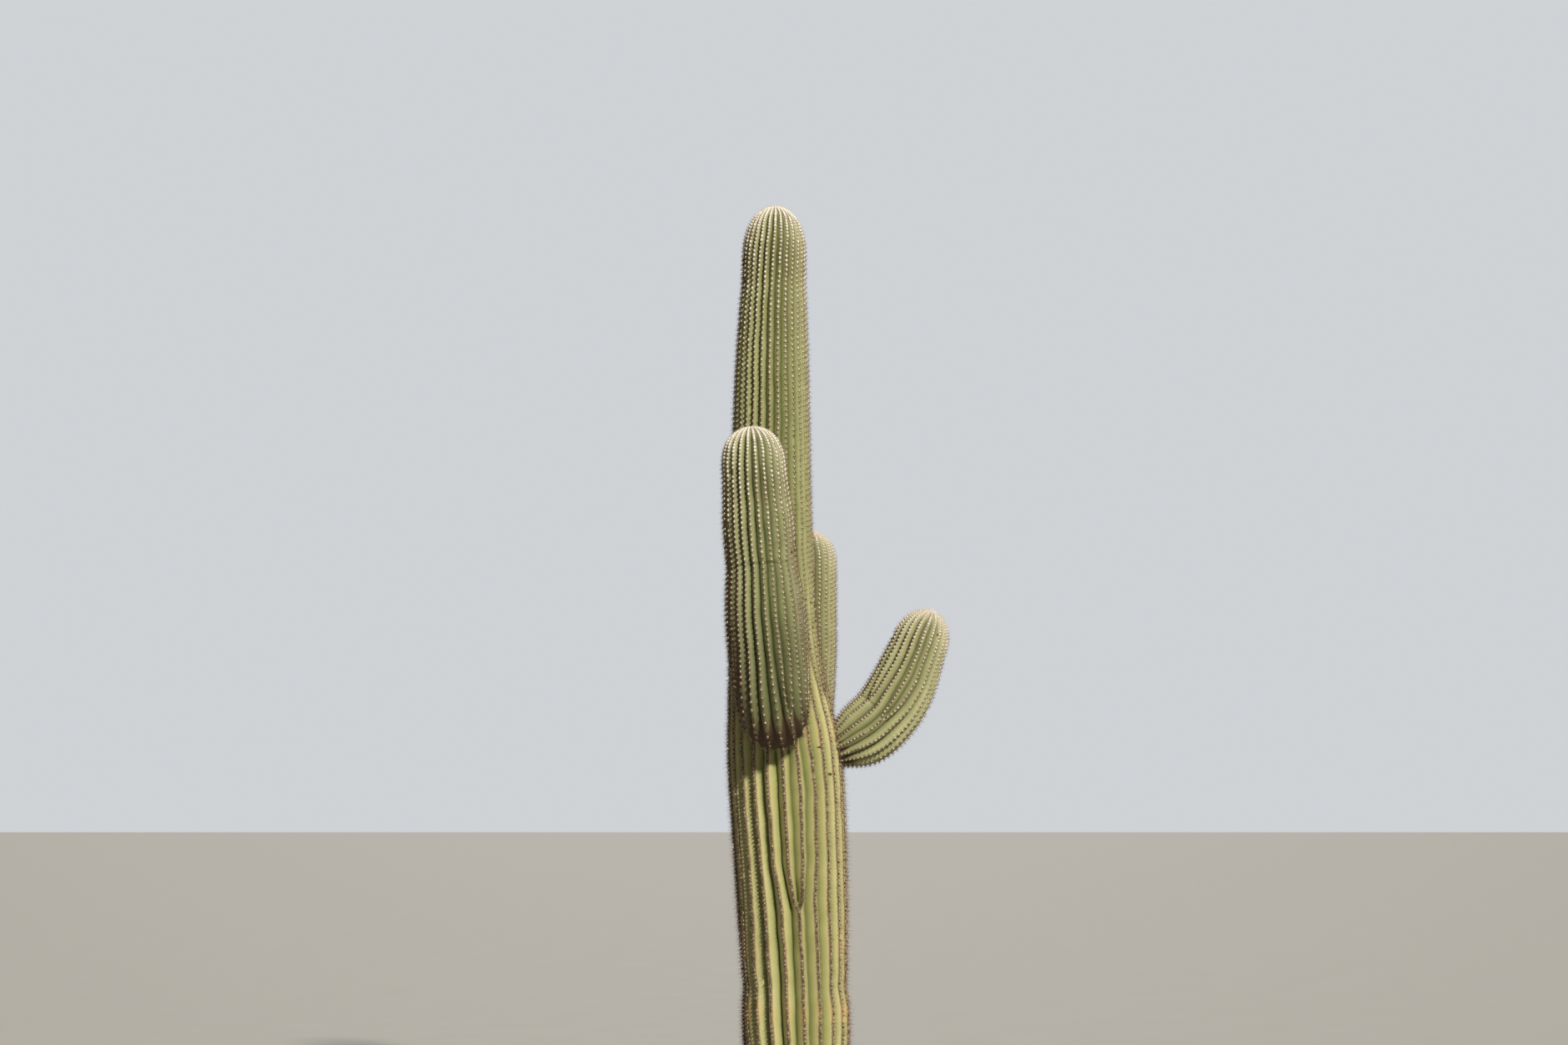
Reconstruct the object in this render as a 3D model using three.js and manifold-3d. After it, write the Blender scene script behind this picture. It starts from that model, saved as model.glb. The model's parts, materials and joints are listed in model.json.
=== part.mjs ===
// Saguaro cactus: a ribbed trunk with three ribbed arms, standing on the flat cut at ground level.
// Millimetres, +Z up. The origin is the centre of the cut, -Y is the side that the plant is seen from.
// Every stem is a loft of ribbed rings: a crest radius, a rib count that grows with length, and a domed tip.

import * as THREE from "three";
import { mergeVertices } from "three/addons/utils/BufferGeometryUtils.js";
import Module from "manifold-3d";

// Driving dimensions
const TRUNK_HEIGHT = 4584;
const RIB_DEPTH_SHARE = 0.5; // depth of a furrow over the width of its rib
const FOOT_DEPTH_SHARE = 0.5; // how much of that depth is left at the trunk's worn foot
const RIB_ROUNDNESS = 1.8; // 2 is a round rib, 1 a sharp one
const SAMPLES_PER_RIB = 4;
const FORK_LENGTH = 60; // over which the new furrow of a forked rib opens
const SPREAD_LENGTH = 260; // over which the two ribs of a fork reach full width
const SETTLE_BELOW = 350; // a fork's neighbours begin to make room for it this far below it
const SETTLE_LENGTH = 800; // and end this much further up
const MAKING_ROOM = [0.25, 0.15, 0.1]; // how much the ribs beside a fork give, from the nearest
const RING_SPACING = 260; // the widest gap between two rings
const BEND_RING_SPACING = 85; // the same where an arm bends
const AXIS_STEP = 5; // the straight steps that an arm's axis is summed from
const DOME_RING_ANGLES = [24, 44, 60, 73, 84];
const PINCH_WIDTH = 55;
const SEAT_GAP = 0.3; // between two pieces that touch
const CUT_CLEARANCE = 0.76; // radial, so that the slanted rib flanks keep the seat gap too
const SEAT_DEPTH = 170; // how far inside the trunk an arm starts before it is cut

// The trunk's axis: [height, x, y]. It leans to -X as far as the arms, then stands upright.
const TRUNK_AXIS = [
  [0, 0, 0],
  [900, -18, 0],
  [1900, -64, 4],
  [2500, -120, 8],
  [3500, -130, 12],
  [TRUNK_HEIGHT, -112, 10],
];

// profile: [distance along the stem, crest radius]. pinches: places where a dry year drew the stem in.
// dome: how far the rounded tip reaches down. fullness: 2 is an ellipse, and more is a fuller tip.
// firstFurrow: [distance along the stem, azimuth of furrow 0 in degrees from the belly, -Y on the trunk].
// forks: [furrow number, distance along the stem where that furrow begins].
// broad: [rib number, how much its width gains on the others' 1, the distance where it does, and the reach].
const TRUNK = {
  length: TRUNK_HEIGHT,
  ribs: 28,
  dome: 290,
  fullness: 2.8,
  footFade: 520, // the ribs are full from here
  profile: [
    [0, 257],
    [60, 240],
    [170, 228],
    [330, 229],
    [620, 249],
    [900, 245],
    [1200, 257],
    [1750, 270],
    [1960, 266],
    [2200, 238],
    [2420, 214],
    [2700, 200],
    [3550, 179],
    [3790, 172],
    [4120, 156],
    [4294, 149],
  ],
  firstFurrow: [
    [0, 9],
    [720, 9],
    [1100, 7.6],
    [1350, 5.5],
    [1700, 4.8],
    [3600, 4.2],
    [3900, 2.9],
    [4270, 4.4],
    [4460, 8],
    [TRUNK_HEIGHT, 8],
  ],
  pinches: [
    [825, 7],
    [4190, 3],
  ],
  forks: [
    [0, 1175],
    [9, 1350],
    [19, 980],
    [5, 2180],
    [13, 2300],
    [23, 2250],
    [26, 2650],
  ],
  broad: [
    [22, 0.12, 900, 280],
    [23, 0.12, 900, 280],
    [24, 0.205, 900, 280],
    [25, 0.065, 900, 280],
    [26, 0.065, 900, 280],
    [27, 0.07, 900, 280],
    [0, 0.07, 900, 280],
    [1, 0.135, 900, 280],
    [2, -0.03, 900, 280],
    [26, 0.1, 1720, 140],
    [0, 0.22, 1720, 140],
    [1, -0.08, 1720, 140],
    [2, -0.08, 1720, 140],
  ],
};

// startHeight is where the arm's axis leaves the trunk's axis, azimuth and elevation its first direction,
// and tilt the X and Y that its last direction gains for each unit of rise.
const FRONT_ARM = {
  startHeight: 2035,
  azimuth: -5.4,
  elevation: 5,
  tilt: [-0.08, 0],
  bend: [200, 590],
  split: 640, // where the elbow piece ends and the upright piece begins
  length: 1728,
  ribs: 24,
  dome: 215,
  fullness: 2.8,
  footFade: 0,
  profile: [
    [0, 95],
    [225, 106],
    [300, 143],
    [420, 166],
    [620, 179],
    [760, 184],
    [880, 180],
    [1000, 169],
    [1090, 162],
    [1275, 161],
    [1375, 154],
    [1513, 145],
  ],
  firstFurrow: [
    [0, -0.5],
    [500, -0.5],
    [630, -1.3],
    [820, -1.9],
    [1060, -0.3],
    [1250, -0.2],
    [1450, 0.2],
    [1610, 3],
    [1728, 3],
  ],
  pinches: [[1075, 3]],
  forks: [
    [2, 405],
    [5, 390],
    [8, 520],
    [10, 360],
    [12, 450],
    [14, 560],
    [16, 410],
    [18, 480],
  ],
  broad: [
    [21, -0.05, 780, 150],
    [22, -0.05, 780, 150],
    [23, -0.06, 780, 150],
    [0, -0.07, 780, 150],
    [1, -0.07, 760, 160],
    [2, -0.1, 700, 160],
    [3, -0.14, 680, 150],
  ],
};

const BACK_ARM = {
  startHeight: 1975,
  azimuth: 161,
  elevation: 5,
  tilt: [0, 0],
  bend: [200, 530],
  split: 580,
  length: 1351,
  ribs: 22,
  dome: 150,
  fullness: 2.3,
  footFade: 0,
  profile: [
    [0, 78],
    [225, 84],
    [300, 100],
    [420, 106],
    [600, 119],
    [840, 128],
    [1120, 128],
    [1201, 126],
  ],
  firstFurrow: [
    [0, 0],
    [1351, 0],
  ],
  pinches: [[960, 2]],
  forks: [
    [3, 400],
    [8, 350],
    [13, 450],
    [18, 380],
  ],
  broad: [],
};

const RIGHT_ARM = {
  startHeight: 1834,
  azimuth: 91,
  elevation: 24.3,
  tilt: [0.395, 0],
  bend: [225, 820],
  length: 1100,
  ribs: 20,
  dome: 190,
  fullness: 2.3,
  footFade: 0,
  profile: [
    [0, 74],
    [240, 80],
    [285, 97],
    [345, 128],
    [400, 147],
    [485, 155],
    [635, 155],
    [770, 147],
    [910, 130],
  ],
  firstFurrow: [
    [0, 9],
    [450, 8],
    [620, 6],
    [850, 9],
    [1100, 9],
  ],
  pinches: [[560, 2]],
  forks: [
    [2, 400],
    [7, 470],
    [12, 555],
    [15, 500],
  ],
  broad: [],
};

const SKIN_COLOUR = 0x9aa05e;
const ARM_COLOUR = 0x8b9358;
const SKIN_ROUGHNESS = 0.62;
const SAME_POINT = 1e-3; // points nearer than this are one

const smooth = (x) => {
  const t = Math.min(1, Math.max(0, x));
  return t * t * (3 - 2 * t);
};

// Column `which` of a table whose first column is the distance, joined by one smooth curve
function along(table, distance, which) {
  const last = table.length - 1;
  const x = Math.min(Math.max(distance, table[0][0]), table[last][0]);
  let i = 0;
  while (i < last - 1 && x > table[i + 1][0]) i++;
  const slope = (a, b) => (table[b][which] - table[a][which]) / (table[b][0] - table[a][0]);
  const width = table[i + 1][0] - table[i][0];
  const t = (x - table[i][0]) / width;
  const startSlope = slope(Math.max(i - 1, 0), i + 1) * width;
  const endSlope = slope(i, Math.min(i + 2, last)) * width;
  const [t2, t3] = [t * t, t * t * t];
  return (
    (2 * t3 - 3 * t2 + 1) * table[i][which] +
    (t3 - 2 * t2 + t) * startSlope +
    (3 * t2 - 2 * t3) * table[i + 1][which] +
    (t3 - t2) * endSlope
  );
}

const compass = (degrees) => {
  const a = THREE.MathUtils.degToRad(degrees);
  return new THREE.Vector3(Math.sin(a), -Math.cos(a), 0);
};

// The trunk's rings stay level, so its foot is cut flat at ground level.
class TrunkAxis {
  frame(distance) {
    return {
      centre: new THREE.Vector3(along(TRUNK_AXIS, distance, 1), along(TRUNK_AXIS, distance, 2), distance),
      belly: new THREE.Vector3(0, -1, 0),
      side: new THREE.Vector3(1, 0, 0),
    };
  }
}

// An arm leaves the trunk's axis, runs out straight, turns up over its bend and rises straight.
class ArmAxis {
  constructor(arm) {
    this.arm = arm;
    const rise = THREE.MathUtils.degToRad(arm.elevation);
    this.first = compass(arm.azimuth).multiplyScalar(Math.cos(rise)).setZ(Math.sin(rise));
    this.last = new THREE.Vector3(arm.tilt[0], arm.tilt[1], 1).normalize();
    this.turn = this.first.angleTo(this.last);
    this.side = new THREE.Vector3().crossVectors(this.last, this.first).normalize();
    this.points = [new TrunkAxis().frame(arm.startHeight).centre];
    for (let s = 0; s < arm.length; s += AXIS_STEP) {
      const next = this.direction(s + AXIS_STEP / 2).multiplyScalar(AXIS_STEP);
      this.points.push(next.add(this.points[this.points.length - 1]));
    }
  }

  direction(distance) {
    const [from, to] = this.arm.bend;
    const angle = this.turn * smooth((distance - from) / (to - from));
    return this.first.clone().applyAxisAngle(this.side, -angle);
  }

  frame(distance) {
    const i = Math.min(Math.floor(distance / AXIS_STEP), this.points.length - 2);
    const centre = this.points[i].clone().lerp(this.points[i + 1], distance / AXIS_STEP - i);
    const belly = new THREE.Vector3().crossVectors(this.side, this.direction(distance));
    return { centre, belly, side: this.side };
  }
}

// The azimuth of each furrow, in degrees, and how far each has opened, at a distance along the stem.
// Before its fork, a rib pair has the width of one rib and no furrow between the two. The ribs on each
// side of a new pair draw together while it spreads, and have their old width back further up.
function furrowsOf(stem, distance) {
  const open = new Array(stem.ribs).fill(1);
  const width = new Array(stem.ribs).fill(1);
  for (const [furrow, start] of stem.forks) {
    open[furrow] = smooth((distance - start) / FORK_LENGTH);
    const spread = smooth((distance - start) / SPREAD_LENGTH);
    const settled = smooth((distance - start + SETTLE_BELOW) / SETTLE_LENGTH);
    const widen = (rib, amount) => {
      width[(rib + stem.ribs) % stem.ribs] += amount;
    };
    widen(furrow - 1, (spread - 1) / 2);
    widen(furrow, (spread - 1) / 2);
    MAKING_ROOM.forEach((share, i) => {
      widen(furrow - 2 - i, (settled - spread) * share);
      widen(furrow + 1 + i, (settled - spread) * share);
    });
  }
  for (const [rib, gain, place, reach] of stem.broad)
    width[rib] += gain * Math.exp(-(((distance - place) / reach) ** 2));
  const total = width.reduce((a, b) => a + b, 0);
  const azimuth = [along(stem.firstFurrow, distance, 1)];
  for (const share of width) azimuth.push(azimuth[azimuth.length - 1] + (360 * share) / total);
  return { open, azimuth, ribWidth: 360 / total };
}

// How high the surface stands between furrow floor and rib crest, at `across` from -1 to 1 over rib k.
function ribHeight(open, k, across) {
  const own = 1 - Math.abs(across) ** RIB_ROUNDNESS;
  const before = open[k];
  const after = open[(k + 1) % open.length];
  const joined = (part) => 1 - Math.abs(part) ** RIB_ROUNDNESS;
  if (before < 1) return before * own + (1 - before) * joined((across + 1) / 2);
  if (after < 1) return after * own + (1 - after) * joined((across - 1) / 2);
  return own;
}

function crestRadius(stem, distance) {
  const domeStart = stem.length - stem.dome;
  let radius = along(stem.profile, Math.min(distance, domeStart), 1);
  for (const [place, depth] of stem.pinches)
    radius -= depth * Math.exp(-(((distance - place) / PINCH_WIDTH) ** 2));
  const up = Math.min(1, Math.max(0, (distance - domeStart) / stem.dome));
  return radius * Math.sqrt(1 - up ** stem.fullness);
}

// The points of one ring, anticlockwise seen from further along the stem.
function ringAt(stem, axis, distance, swell) {
  const { centre, belly, side } = axis.frame(distance);
  const { open, azimuth, ribWidth } = furrowsOf(stem, distance);
  const radius = crestRadius(stem, distance) + swell;
  const healed = stem.footFade ? smooth(distance / stem.footFade) : 1;
  const foot = FOOT_DEPTH_SHARE + (1 - FOOT_DEPTH_SHARE) * healed;
  const depth = radius * THREE.MathUtils.degToRad(ribWidth) * RIB_DEPTH_SHARE * foot;
  const points = [];
  for (let k = 0; k < stem.ribs; k++)
    for (let j = 0; j < SAMPLES_PER_RIB; j++) {
      const share = j / SAMPLES_PER_RIB;
      const angle = THREE.MathUtils.degToRad(azimuth[k] + (azimuth[k + 1] - azimuth[k]) * share);
      const reach = radius - depth * (1 - ribHeight(open, k, 2 * share - 1));
      points.push(
        centre
          .clone()
          .addScaledVector(belly, reach * Math.cos(angle))
          .addScaledVector(side, reach * Math.sin(angle)),
      );
    }
  return points;
}

// Ring places: the profile's own stations, filled in so that no gap is too wide, then the dome's.
function ringPlaces(stem, from, to) {
  const domeStart = stem.length - stem.dome;
  const [bendStart, bendEnd] = stem.bend ?? [0, 0];
  const inside = (s) => s > from + 1 && s < to - 1;
  const stations = [from, ...stem.profile.map(([s]) => s).filter(inside), Math.min(to, domeStart)];
  const places = [];
  const ordered = [...new Set(stations)].sort((a, b) => a - b);
  ordered.slice(0, -1).forEach((start, i) => {
    const end = ordered[i + 1];
    const spacing = start < bendEnd && end > bendStart ? BEND_RING_SPACING : RING_SPACING;
    const pieces = Math.ceil((end - start) / spacing);
    for (let n = 0; n < pieces; n++) places.push(start + ((end - start) * n) / pieces);
  });
  places.push(ordered[ordered.length - 1]);
  if (to >= stem.length)
    for (const angle of DOME_RING_ANGLES)
      places.push(domeStart + stem.dome * Math.sin(THREE.MathUtils.degToRad(angle)));
  return places;
}

// A closed loft from one place on a stem to another. It ends in the dome's point where `to` is the tip.
function stemGeometry(stem, axis, from, to, swell = 0) {
  const rings = ringPlaces(stem, from, to).map((s) => ringAt(stem, axis, s, swell));
  const columns = rings[0].length;
  const start = axis.frame(from).centre;
  const end = axis.frame(Math.min(to, stem.length)).centre;
  const points = [...rings.flat(), start, end];
  const [startIndex, endIndex] = [points.length - 2, points.length - 1];
  const lastRing = (rings.length - 1) * columns;
  const faces = [];
  for (let c = 0; c < columns; c++) {
    const d = (c + 1) % columns;
    faces.push(startIndex, d, c, endIndex, lastRing + c, lastRing + d);
    for (let r = 0; r < rings.length - 1; r++) {
      const [low, high] = [r * columns, (r + 1) * columns];
      faces.push(low + c, low + d, high + d, low + c, high + d, high + c);
    }
  }
  return new THREE.BufferGeometry().setFromPoints(points).setIndex(faces);
}

const wasm = await Module();
wasm.setup();

function toSolid(geometry) {
  const bare = geometry.clone();
  bare.deleteAttribute("normal");
  bare.deleteAttribute("uv");
  const merged = mergeVertices(bare, SAME_POINT);
  return new wasm.Manifold(
    new wasm.Mesh({
      numProp: 3,
      vertProperties: merged.attributes.position.array,
      triVerts: new Uint32Array(merged.index.array),
    }),
  );
}

function toGeometry(solid) {
  const mesh = solid.getMesh();
  return new THREE.BufferGeometry()
    .setAttribute("position", new THREE.BufferAttribute(new Float32Array(mesh.vertProperties), 3))
    .setIndex(new THREE.BufferAttribute(new Uint32Array(mesh.triVerts), 1));
}

const trunkAxis = new TrunkAxis();
const trunkCutter = toSolid(stemGeometry(TRUNK, trunkAxis, 0, TRUNK.length, CUT_CLEARANCE));

function stemMesh(name, geometry, colour) {
  const shaded = geometry.toNonIndexed();
  shaded.computeVertexNormals();
  const material = new THREE.MeshStandardMaterial({ color: colour, roughness: SKIN_ROUGHNESS, metalness: 0 });
  const mesh = new THREE.Mesh(shaded, material);
  mesh.name = name;
  return mesh;
}

// The foot of an arm, cut to the ribbed side of the trunk that it grows from.
function seatedPiece(arm, axis, to) {
  const whole = toSolid(stemGeometry(arm, axis, SEAT_DEPTH, to));
  return toGeometry(whole.subtract(trunkCutter));
}

function bentArm(name, arm) {
  const axis = new ArmAxis(arm);
  const upright = stemGeometry(arm, axis, arm.split + SEAT_GAP, arm.length);
  const group = new THREE.Group();
  group.add(stemMesh(`${name}_elbow`, seatedPiece(arm, axis, arm.split), ARM_COLOUR));
  group.add(stemMesh(`${name}_upright`, upright, ARM_COLOUR));
  return group;
}

function straightArm(name, arm) {
  const axis = new ArmAxis(arm);
  return stemMesh(name, seatedPiece(arm, axis, arm.length), ARM_COLOUR);
}

const saguaro = new THREE.Group();
saguaro.add(stemMesh("trunk", stemGeometry(TRUNK, trunkAxis, 0, TRUNK.length), SKIN_COLOUR));
saguaro.add(bentArm("front_arm", FRONT_ARM));
saguaro.add(bentArm("back_arm", BACK_ARM));
saguaro.add(straightArm("right_arm", RIGHT_ARM));

export default saguaro;
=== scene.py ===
"""A saguaro cactus as a Blender add-on: ribbed skins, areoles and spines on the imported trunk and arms."""

import json
import math
from dataclasses import dataclass
from functools import partial

import bpy
import numpy as np
from bpy.props import FloatProperty, FloatVectorProperty, IntProperty, PointerProperty
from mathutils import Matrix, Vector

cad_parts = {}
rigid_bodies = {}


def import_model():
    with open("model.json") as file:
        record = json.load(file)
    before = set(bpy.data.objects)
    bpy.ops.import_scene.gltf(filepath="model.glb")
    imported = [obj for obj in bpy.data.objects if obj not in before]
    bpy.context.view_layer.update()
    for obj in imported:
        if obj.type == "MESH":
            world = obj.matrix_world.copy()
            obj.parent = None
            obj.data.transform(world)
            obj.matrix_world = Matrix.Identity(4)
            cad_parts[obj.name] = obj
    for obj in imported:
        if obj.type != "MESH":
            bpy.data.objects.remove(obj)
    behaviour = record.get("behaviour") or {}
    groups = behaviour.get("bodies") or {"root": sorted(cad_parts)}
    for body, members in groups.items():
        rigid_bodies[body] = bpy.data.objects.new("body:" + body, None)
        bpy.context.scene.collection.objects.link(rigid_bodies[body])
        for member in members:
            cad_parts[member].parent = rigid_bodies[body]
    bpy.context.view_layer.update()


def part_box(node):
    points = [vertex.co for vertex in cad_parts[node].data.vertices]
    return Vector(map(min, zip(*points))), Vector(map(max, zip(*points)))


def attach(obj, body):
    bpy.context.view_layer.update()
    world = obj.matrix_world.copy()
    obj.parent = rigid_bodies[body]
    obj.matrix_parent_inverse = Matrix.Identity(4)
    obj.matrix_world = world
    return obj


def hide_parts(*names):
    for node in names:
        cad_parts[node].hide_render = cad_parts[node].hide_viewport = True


bl_info = {
    "name": "Saguaro Cactus",
    "version": (1, 0, 0),
    "blender": (4, 5, 0),
    "location": "3D View > Sidebar > Saguaro",
    "description": "Grows the ribbed skins, areoles and spines of a saguaro cactus and sets its stage",
    "category": "Object",
}

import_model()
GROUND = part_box("trunk")[0].z
TRUNK_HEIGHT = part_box("trunk")[1].z

MM = 0.001
GOLDEN_ANGLE = math.radians(137.508)
SEED = 7
FIRST_SEEDS = {"areoles": 20, "spines": 40}
ARM_SEED_STEP = 10
ABOVE_ALL = 9.0  # higher than any point of the plant
ALL_ROUND = 999.0  # a spread in degrees that takes in every side of a stem

# The ribs, as in the solids. Lengths are metres along a stem's axis.
RIB_DEPTH_SHARE = 0.5
FORK_LENGTH = 0.060
SPREAD_LENGTH = 0.260
SETTLE_BELOW = 0.350  # a fork's neighbours make room for it from this far below it
SETTLE_LENGTH = 0.800
MAKING_ROOM = (0.25, 0.15, 0.10)  # shares of the ribs next to a pair, from the nearest, on each side
PINCH_WIDTH = 0.055
AXIS_STEP = 0.005
ARM_START = 0.170

# The skin's finer forms and marks, in metres
FURROW_CROWDING = 0.6  # draws a rib's sampled lines towards its furrows, where it is steep
WANDER = 0.0025  # how far a rib strays sideways, a different way for each
WANDER_LENGTH = 0.34
WANDER_WAVES = ((0.6, 1.0), (0.4, 2.3))  # (share, how many to a wander's length)
SLIM_RADIUS = 0.1  # a stem slimmer than this, as over its dome, strays less
FOOT_FURROWS = 0.5  # the share of their depth that furrows have at the ground
SIDE_EDGE = 1.5  # how sharply a mark ends at its spread's edge
CREASE_WIDTH = 0.006
BLUSH_WIDTH = 0.050
BURN_AND_SHADE_FADE = 0.4  # the share of the height of a burn, with its painted shade, over which each of its ends fades
FORK_SCAR = 0.8
FORK_SCAR_WIDTH = 0.010
FORK_SCAR_HEIGHT = 0.014
TUBERCLE_WIDTH = 0.009
UNROLLED_RADIUS = 0.25  # the skin's patterns lie on a straight stem of this even radius
TRUNK_EDGE = 0.250  # how far along its axis an arm comes out of the trunk's skin
COLLAR_BARK = 0.9  # how thick the bark is on the trunk round an arm's root
COLLAR_REACH = 0.030
COLLAR_FADE = 0.040
BARK_ABOVE = 0.45  # the share of an arm's bark that its upper side keeps

# Where areoles grow
MERGED = 0.02  # a furrow that is less open than this doesn't part its two ribs
CROWDED = 0.0075  # ribs closer than this share their areoles
FOOT_CLEARANCE = 0.06  # no areole grows lower above the ground
ROOT_CLEARANCE = 0.05  # nor closer than this to a stem's start
BALD_SHARE = 0.012  # this share of the areoles is lost

# How the trees shape the skin and the spines. Leans are radians away from the way out of the skin.
BARK_FILL = 0.72  # the share of a furrow's depth that full bark fills
BURN_AND_SHADE_AGES = 0.7  # how old a full burn, with its painted shade, makes pads and spines look
AGE_DOUBT = 0.3  # how far off its age a pad or spine may look
TIP_REACHES = (0.4, 1.6)  # how far the tip's own tone comes down, from least to most
PAD_SIZES = (0.8, 1.15)
SPINE_LENGTHS = (0.65, 1.15)
SPINE_TWISTS = (0.0, 0.8)
CENTRAL_LEANS = (0.10, 0.65)
RADIAL_LEANS = (0.90, 1.35)
RADIAL_STOUTNESS = 0.90
CENTRAL_EXTRA = 0.35  # how much stouter a central spine is

# The skin's patterns. Its real grain is finer than a millimetre, and is drawn as coarse as it needs to show.
MOTTLE_SIZE = 60 * MM
BLOTCH_SIZE = 350 * MM
BAND_HEIGHT = 160 * MM
WRINKLE_LENGTH = 24 * MM
GRAIN_SIZE = 5 * MM
POCK_SPACING = 160 * MM

# How far off a crest, or from the tip, each kind of skin ends, and how far it is full
CORK_REACH = (11 * MM, 5 * MM)
FELT_REACH = (9 * MM, 3 * MM)
BLUSH_REACH = (22 * MM, 8 * MM)
FELT_LENGTH = (0.30, 0.03)
CAP_LENGTH = (0.080, 0.015)

# The trunk's axis: (height, x, y)
TRUNK_AXIS = (
    (0.000, 0.000, 0.000),
    (0.900, -0.018, 0.000),
    (1.900, -0.064, 0.004),
    (2.500, -0.120, 0.008),
    (3.500, -0.130, 0.012),
    (TRUNK_HEIGHT, -0.112, 0.010),
)

# The photograph's view, in its own pixels
PHOTO_WIDTH = 1880
PHOTO_HEIGHT = 1253
FOCAL_PIXELS = 3300
HORIZON_ROW = 985
EYE = (-0.068, -13.2, 1.6)
SENSOR = 36.0

# The stage
FLOOR_REACH = 400.0
BACKDROP_STRENGTH = 0.8
BACK_SOFTNESS = math.radians(20)
CLIP_END = 1000


def linear(hex_colour):
    """An sRGB hex colour as linear red, green, blue and alpha."""
    channels = [int(hex_colour[i : i + 2], 16) / 255 for i in (1, 3, 5)]
    return tuple(c / 12.92 if c <= 0.04045 else ((c + 0.055) / 1.055) ** 2.4 for c in channels) + (1.0,)


def smooth(x):
    """0 below nought and 1 above one, eased between."""
    t = np.clip(x, 0.0, 1.0)
    return t * t * (3 - 2 * t)


def bell(x):
    """1 at nought, falling off on both sides."""
    return np.exp(-(x**2))


def unit(vectors):
    """The vectors at length 1."""
    return vectors / np.linalg.norm(vectors, axis=-1, keepdims=True)


def along(table, distance, column=1):
    """A column of a table whose first column is the distance, joined by one smooth curve."""
    places, values = (np.array([row[i] for row in table], float) for i in (0, column))
    x = np.clip(np.asarray(distance, float), places[0], places[-1])
    slopes = np.empty(len(places))
    slopes[1:-1] = (values[2:] - values[:-2]) / (places[2:] - places[:-2])
    slopes[0] = (values[1] - values[0]) / (places[1] - places[0])
    slopes[-1] = (values[-1] - values[-2]) / (places[-1] - places[-2])
    i = np.clip(np.searchsorted(places, x) - 1, 0, len(places) - 2)
    width = places[i + 1] - places[i]
    t = (x - places[i]) / width
    t2, t3 = t * t, t * t * t
    return (
        (2 * t3 - 3 * t2 + 1) * values[i]
        + (t3 - 2 * t2 + t) * slopes[i] * width
        + (3 * t2 - 2 * t3) * values[i + 1]
        + (t3 - t2) * slopes[i + 1] * width
    )


class TrunkAxis:
    """The trunk's rings stay level, whatever its lean."""

    def frames(self, distance):
        distance = np.asarray(distance, float)
        centre = np.stack([along(TRUNK_AXIS, distance, 1), along(TRUNK_AXIS, distance, 2), distance], -1)
        belly, side, up = (np.tile(v, (len(distance), 1)) for v in ((0.0, -1, 0), (1.0, 0, 0), (0.0, 0, 1)))
        return centre, belly, side, up


class ArmAxis:
    """An arm leaves the trunk's axis, runs out straight, turns up over its bend and rises straight."""

    def __init__(self, length, start_height, azimuth, elevation, tilt, bend):
        rise, turn = math.radians(elevation), math.radians(azimuth)
        first = [math.sin(turn) * math.cos(rise), -math.cos(turn) * math.cos(rise), math.sin(rise)]
        self.first = np.array(first)
        last = unit(np.array([tilt[0], tilt[1], 1.0]))
        self.turn = math.acos(self.first @ last)
        self.side = unit(np.cross(last, self.first))
        self.bend = bend
        self.places = np.arange(0, length + AXIS_STEP, AXIS_STEP)
        steps = self.direction(self.places[:-1] + AXIS_STEP / 2) * AXIS_STEP
        origin = TrunkAxis().frames([start_height])[0]
        self.points = np.concatenate([origin, origin + np.cumsum(steps, 0)])

    def direction(self, distance):
        angle = -self.turn * smooth((np.asarray(distance) - self.bend[0]) / (self.bend[1] - self.bend[0]))
        across = np.cross(self.side, self.first)
        return np.cos(angle)[:, None] * self.first + np.sin(angle)[:, None] * across

    def frames(self, distance):
        distance = np.asarray(distance, float)
        centre = np.stack([np.interp(distance, self.places, self.points[:, i]) for i in range(3)], -1)
        up = self.direction(distance)
        side = np.tile(self.side, (len(distance), 1))
        return centre, np.cross(self.side, up), side, up


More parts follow.
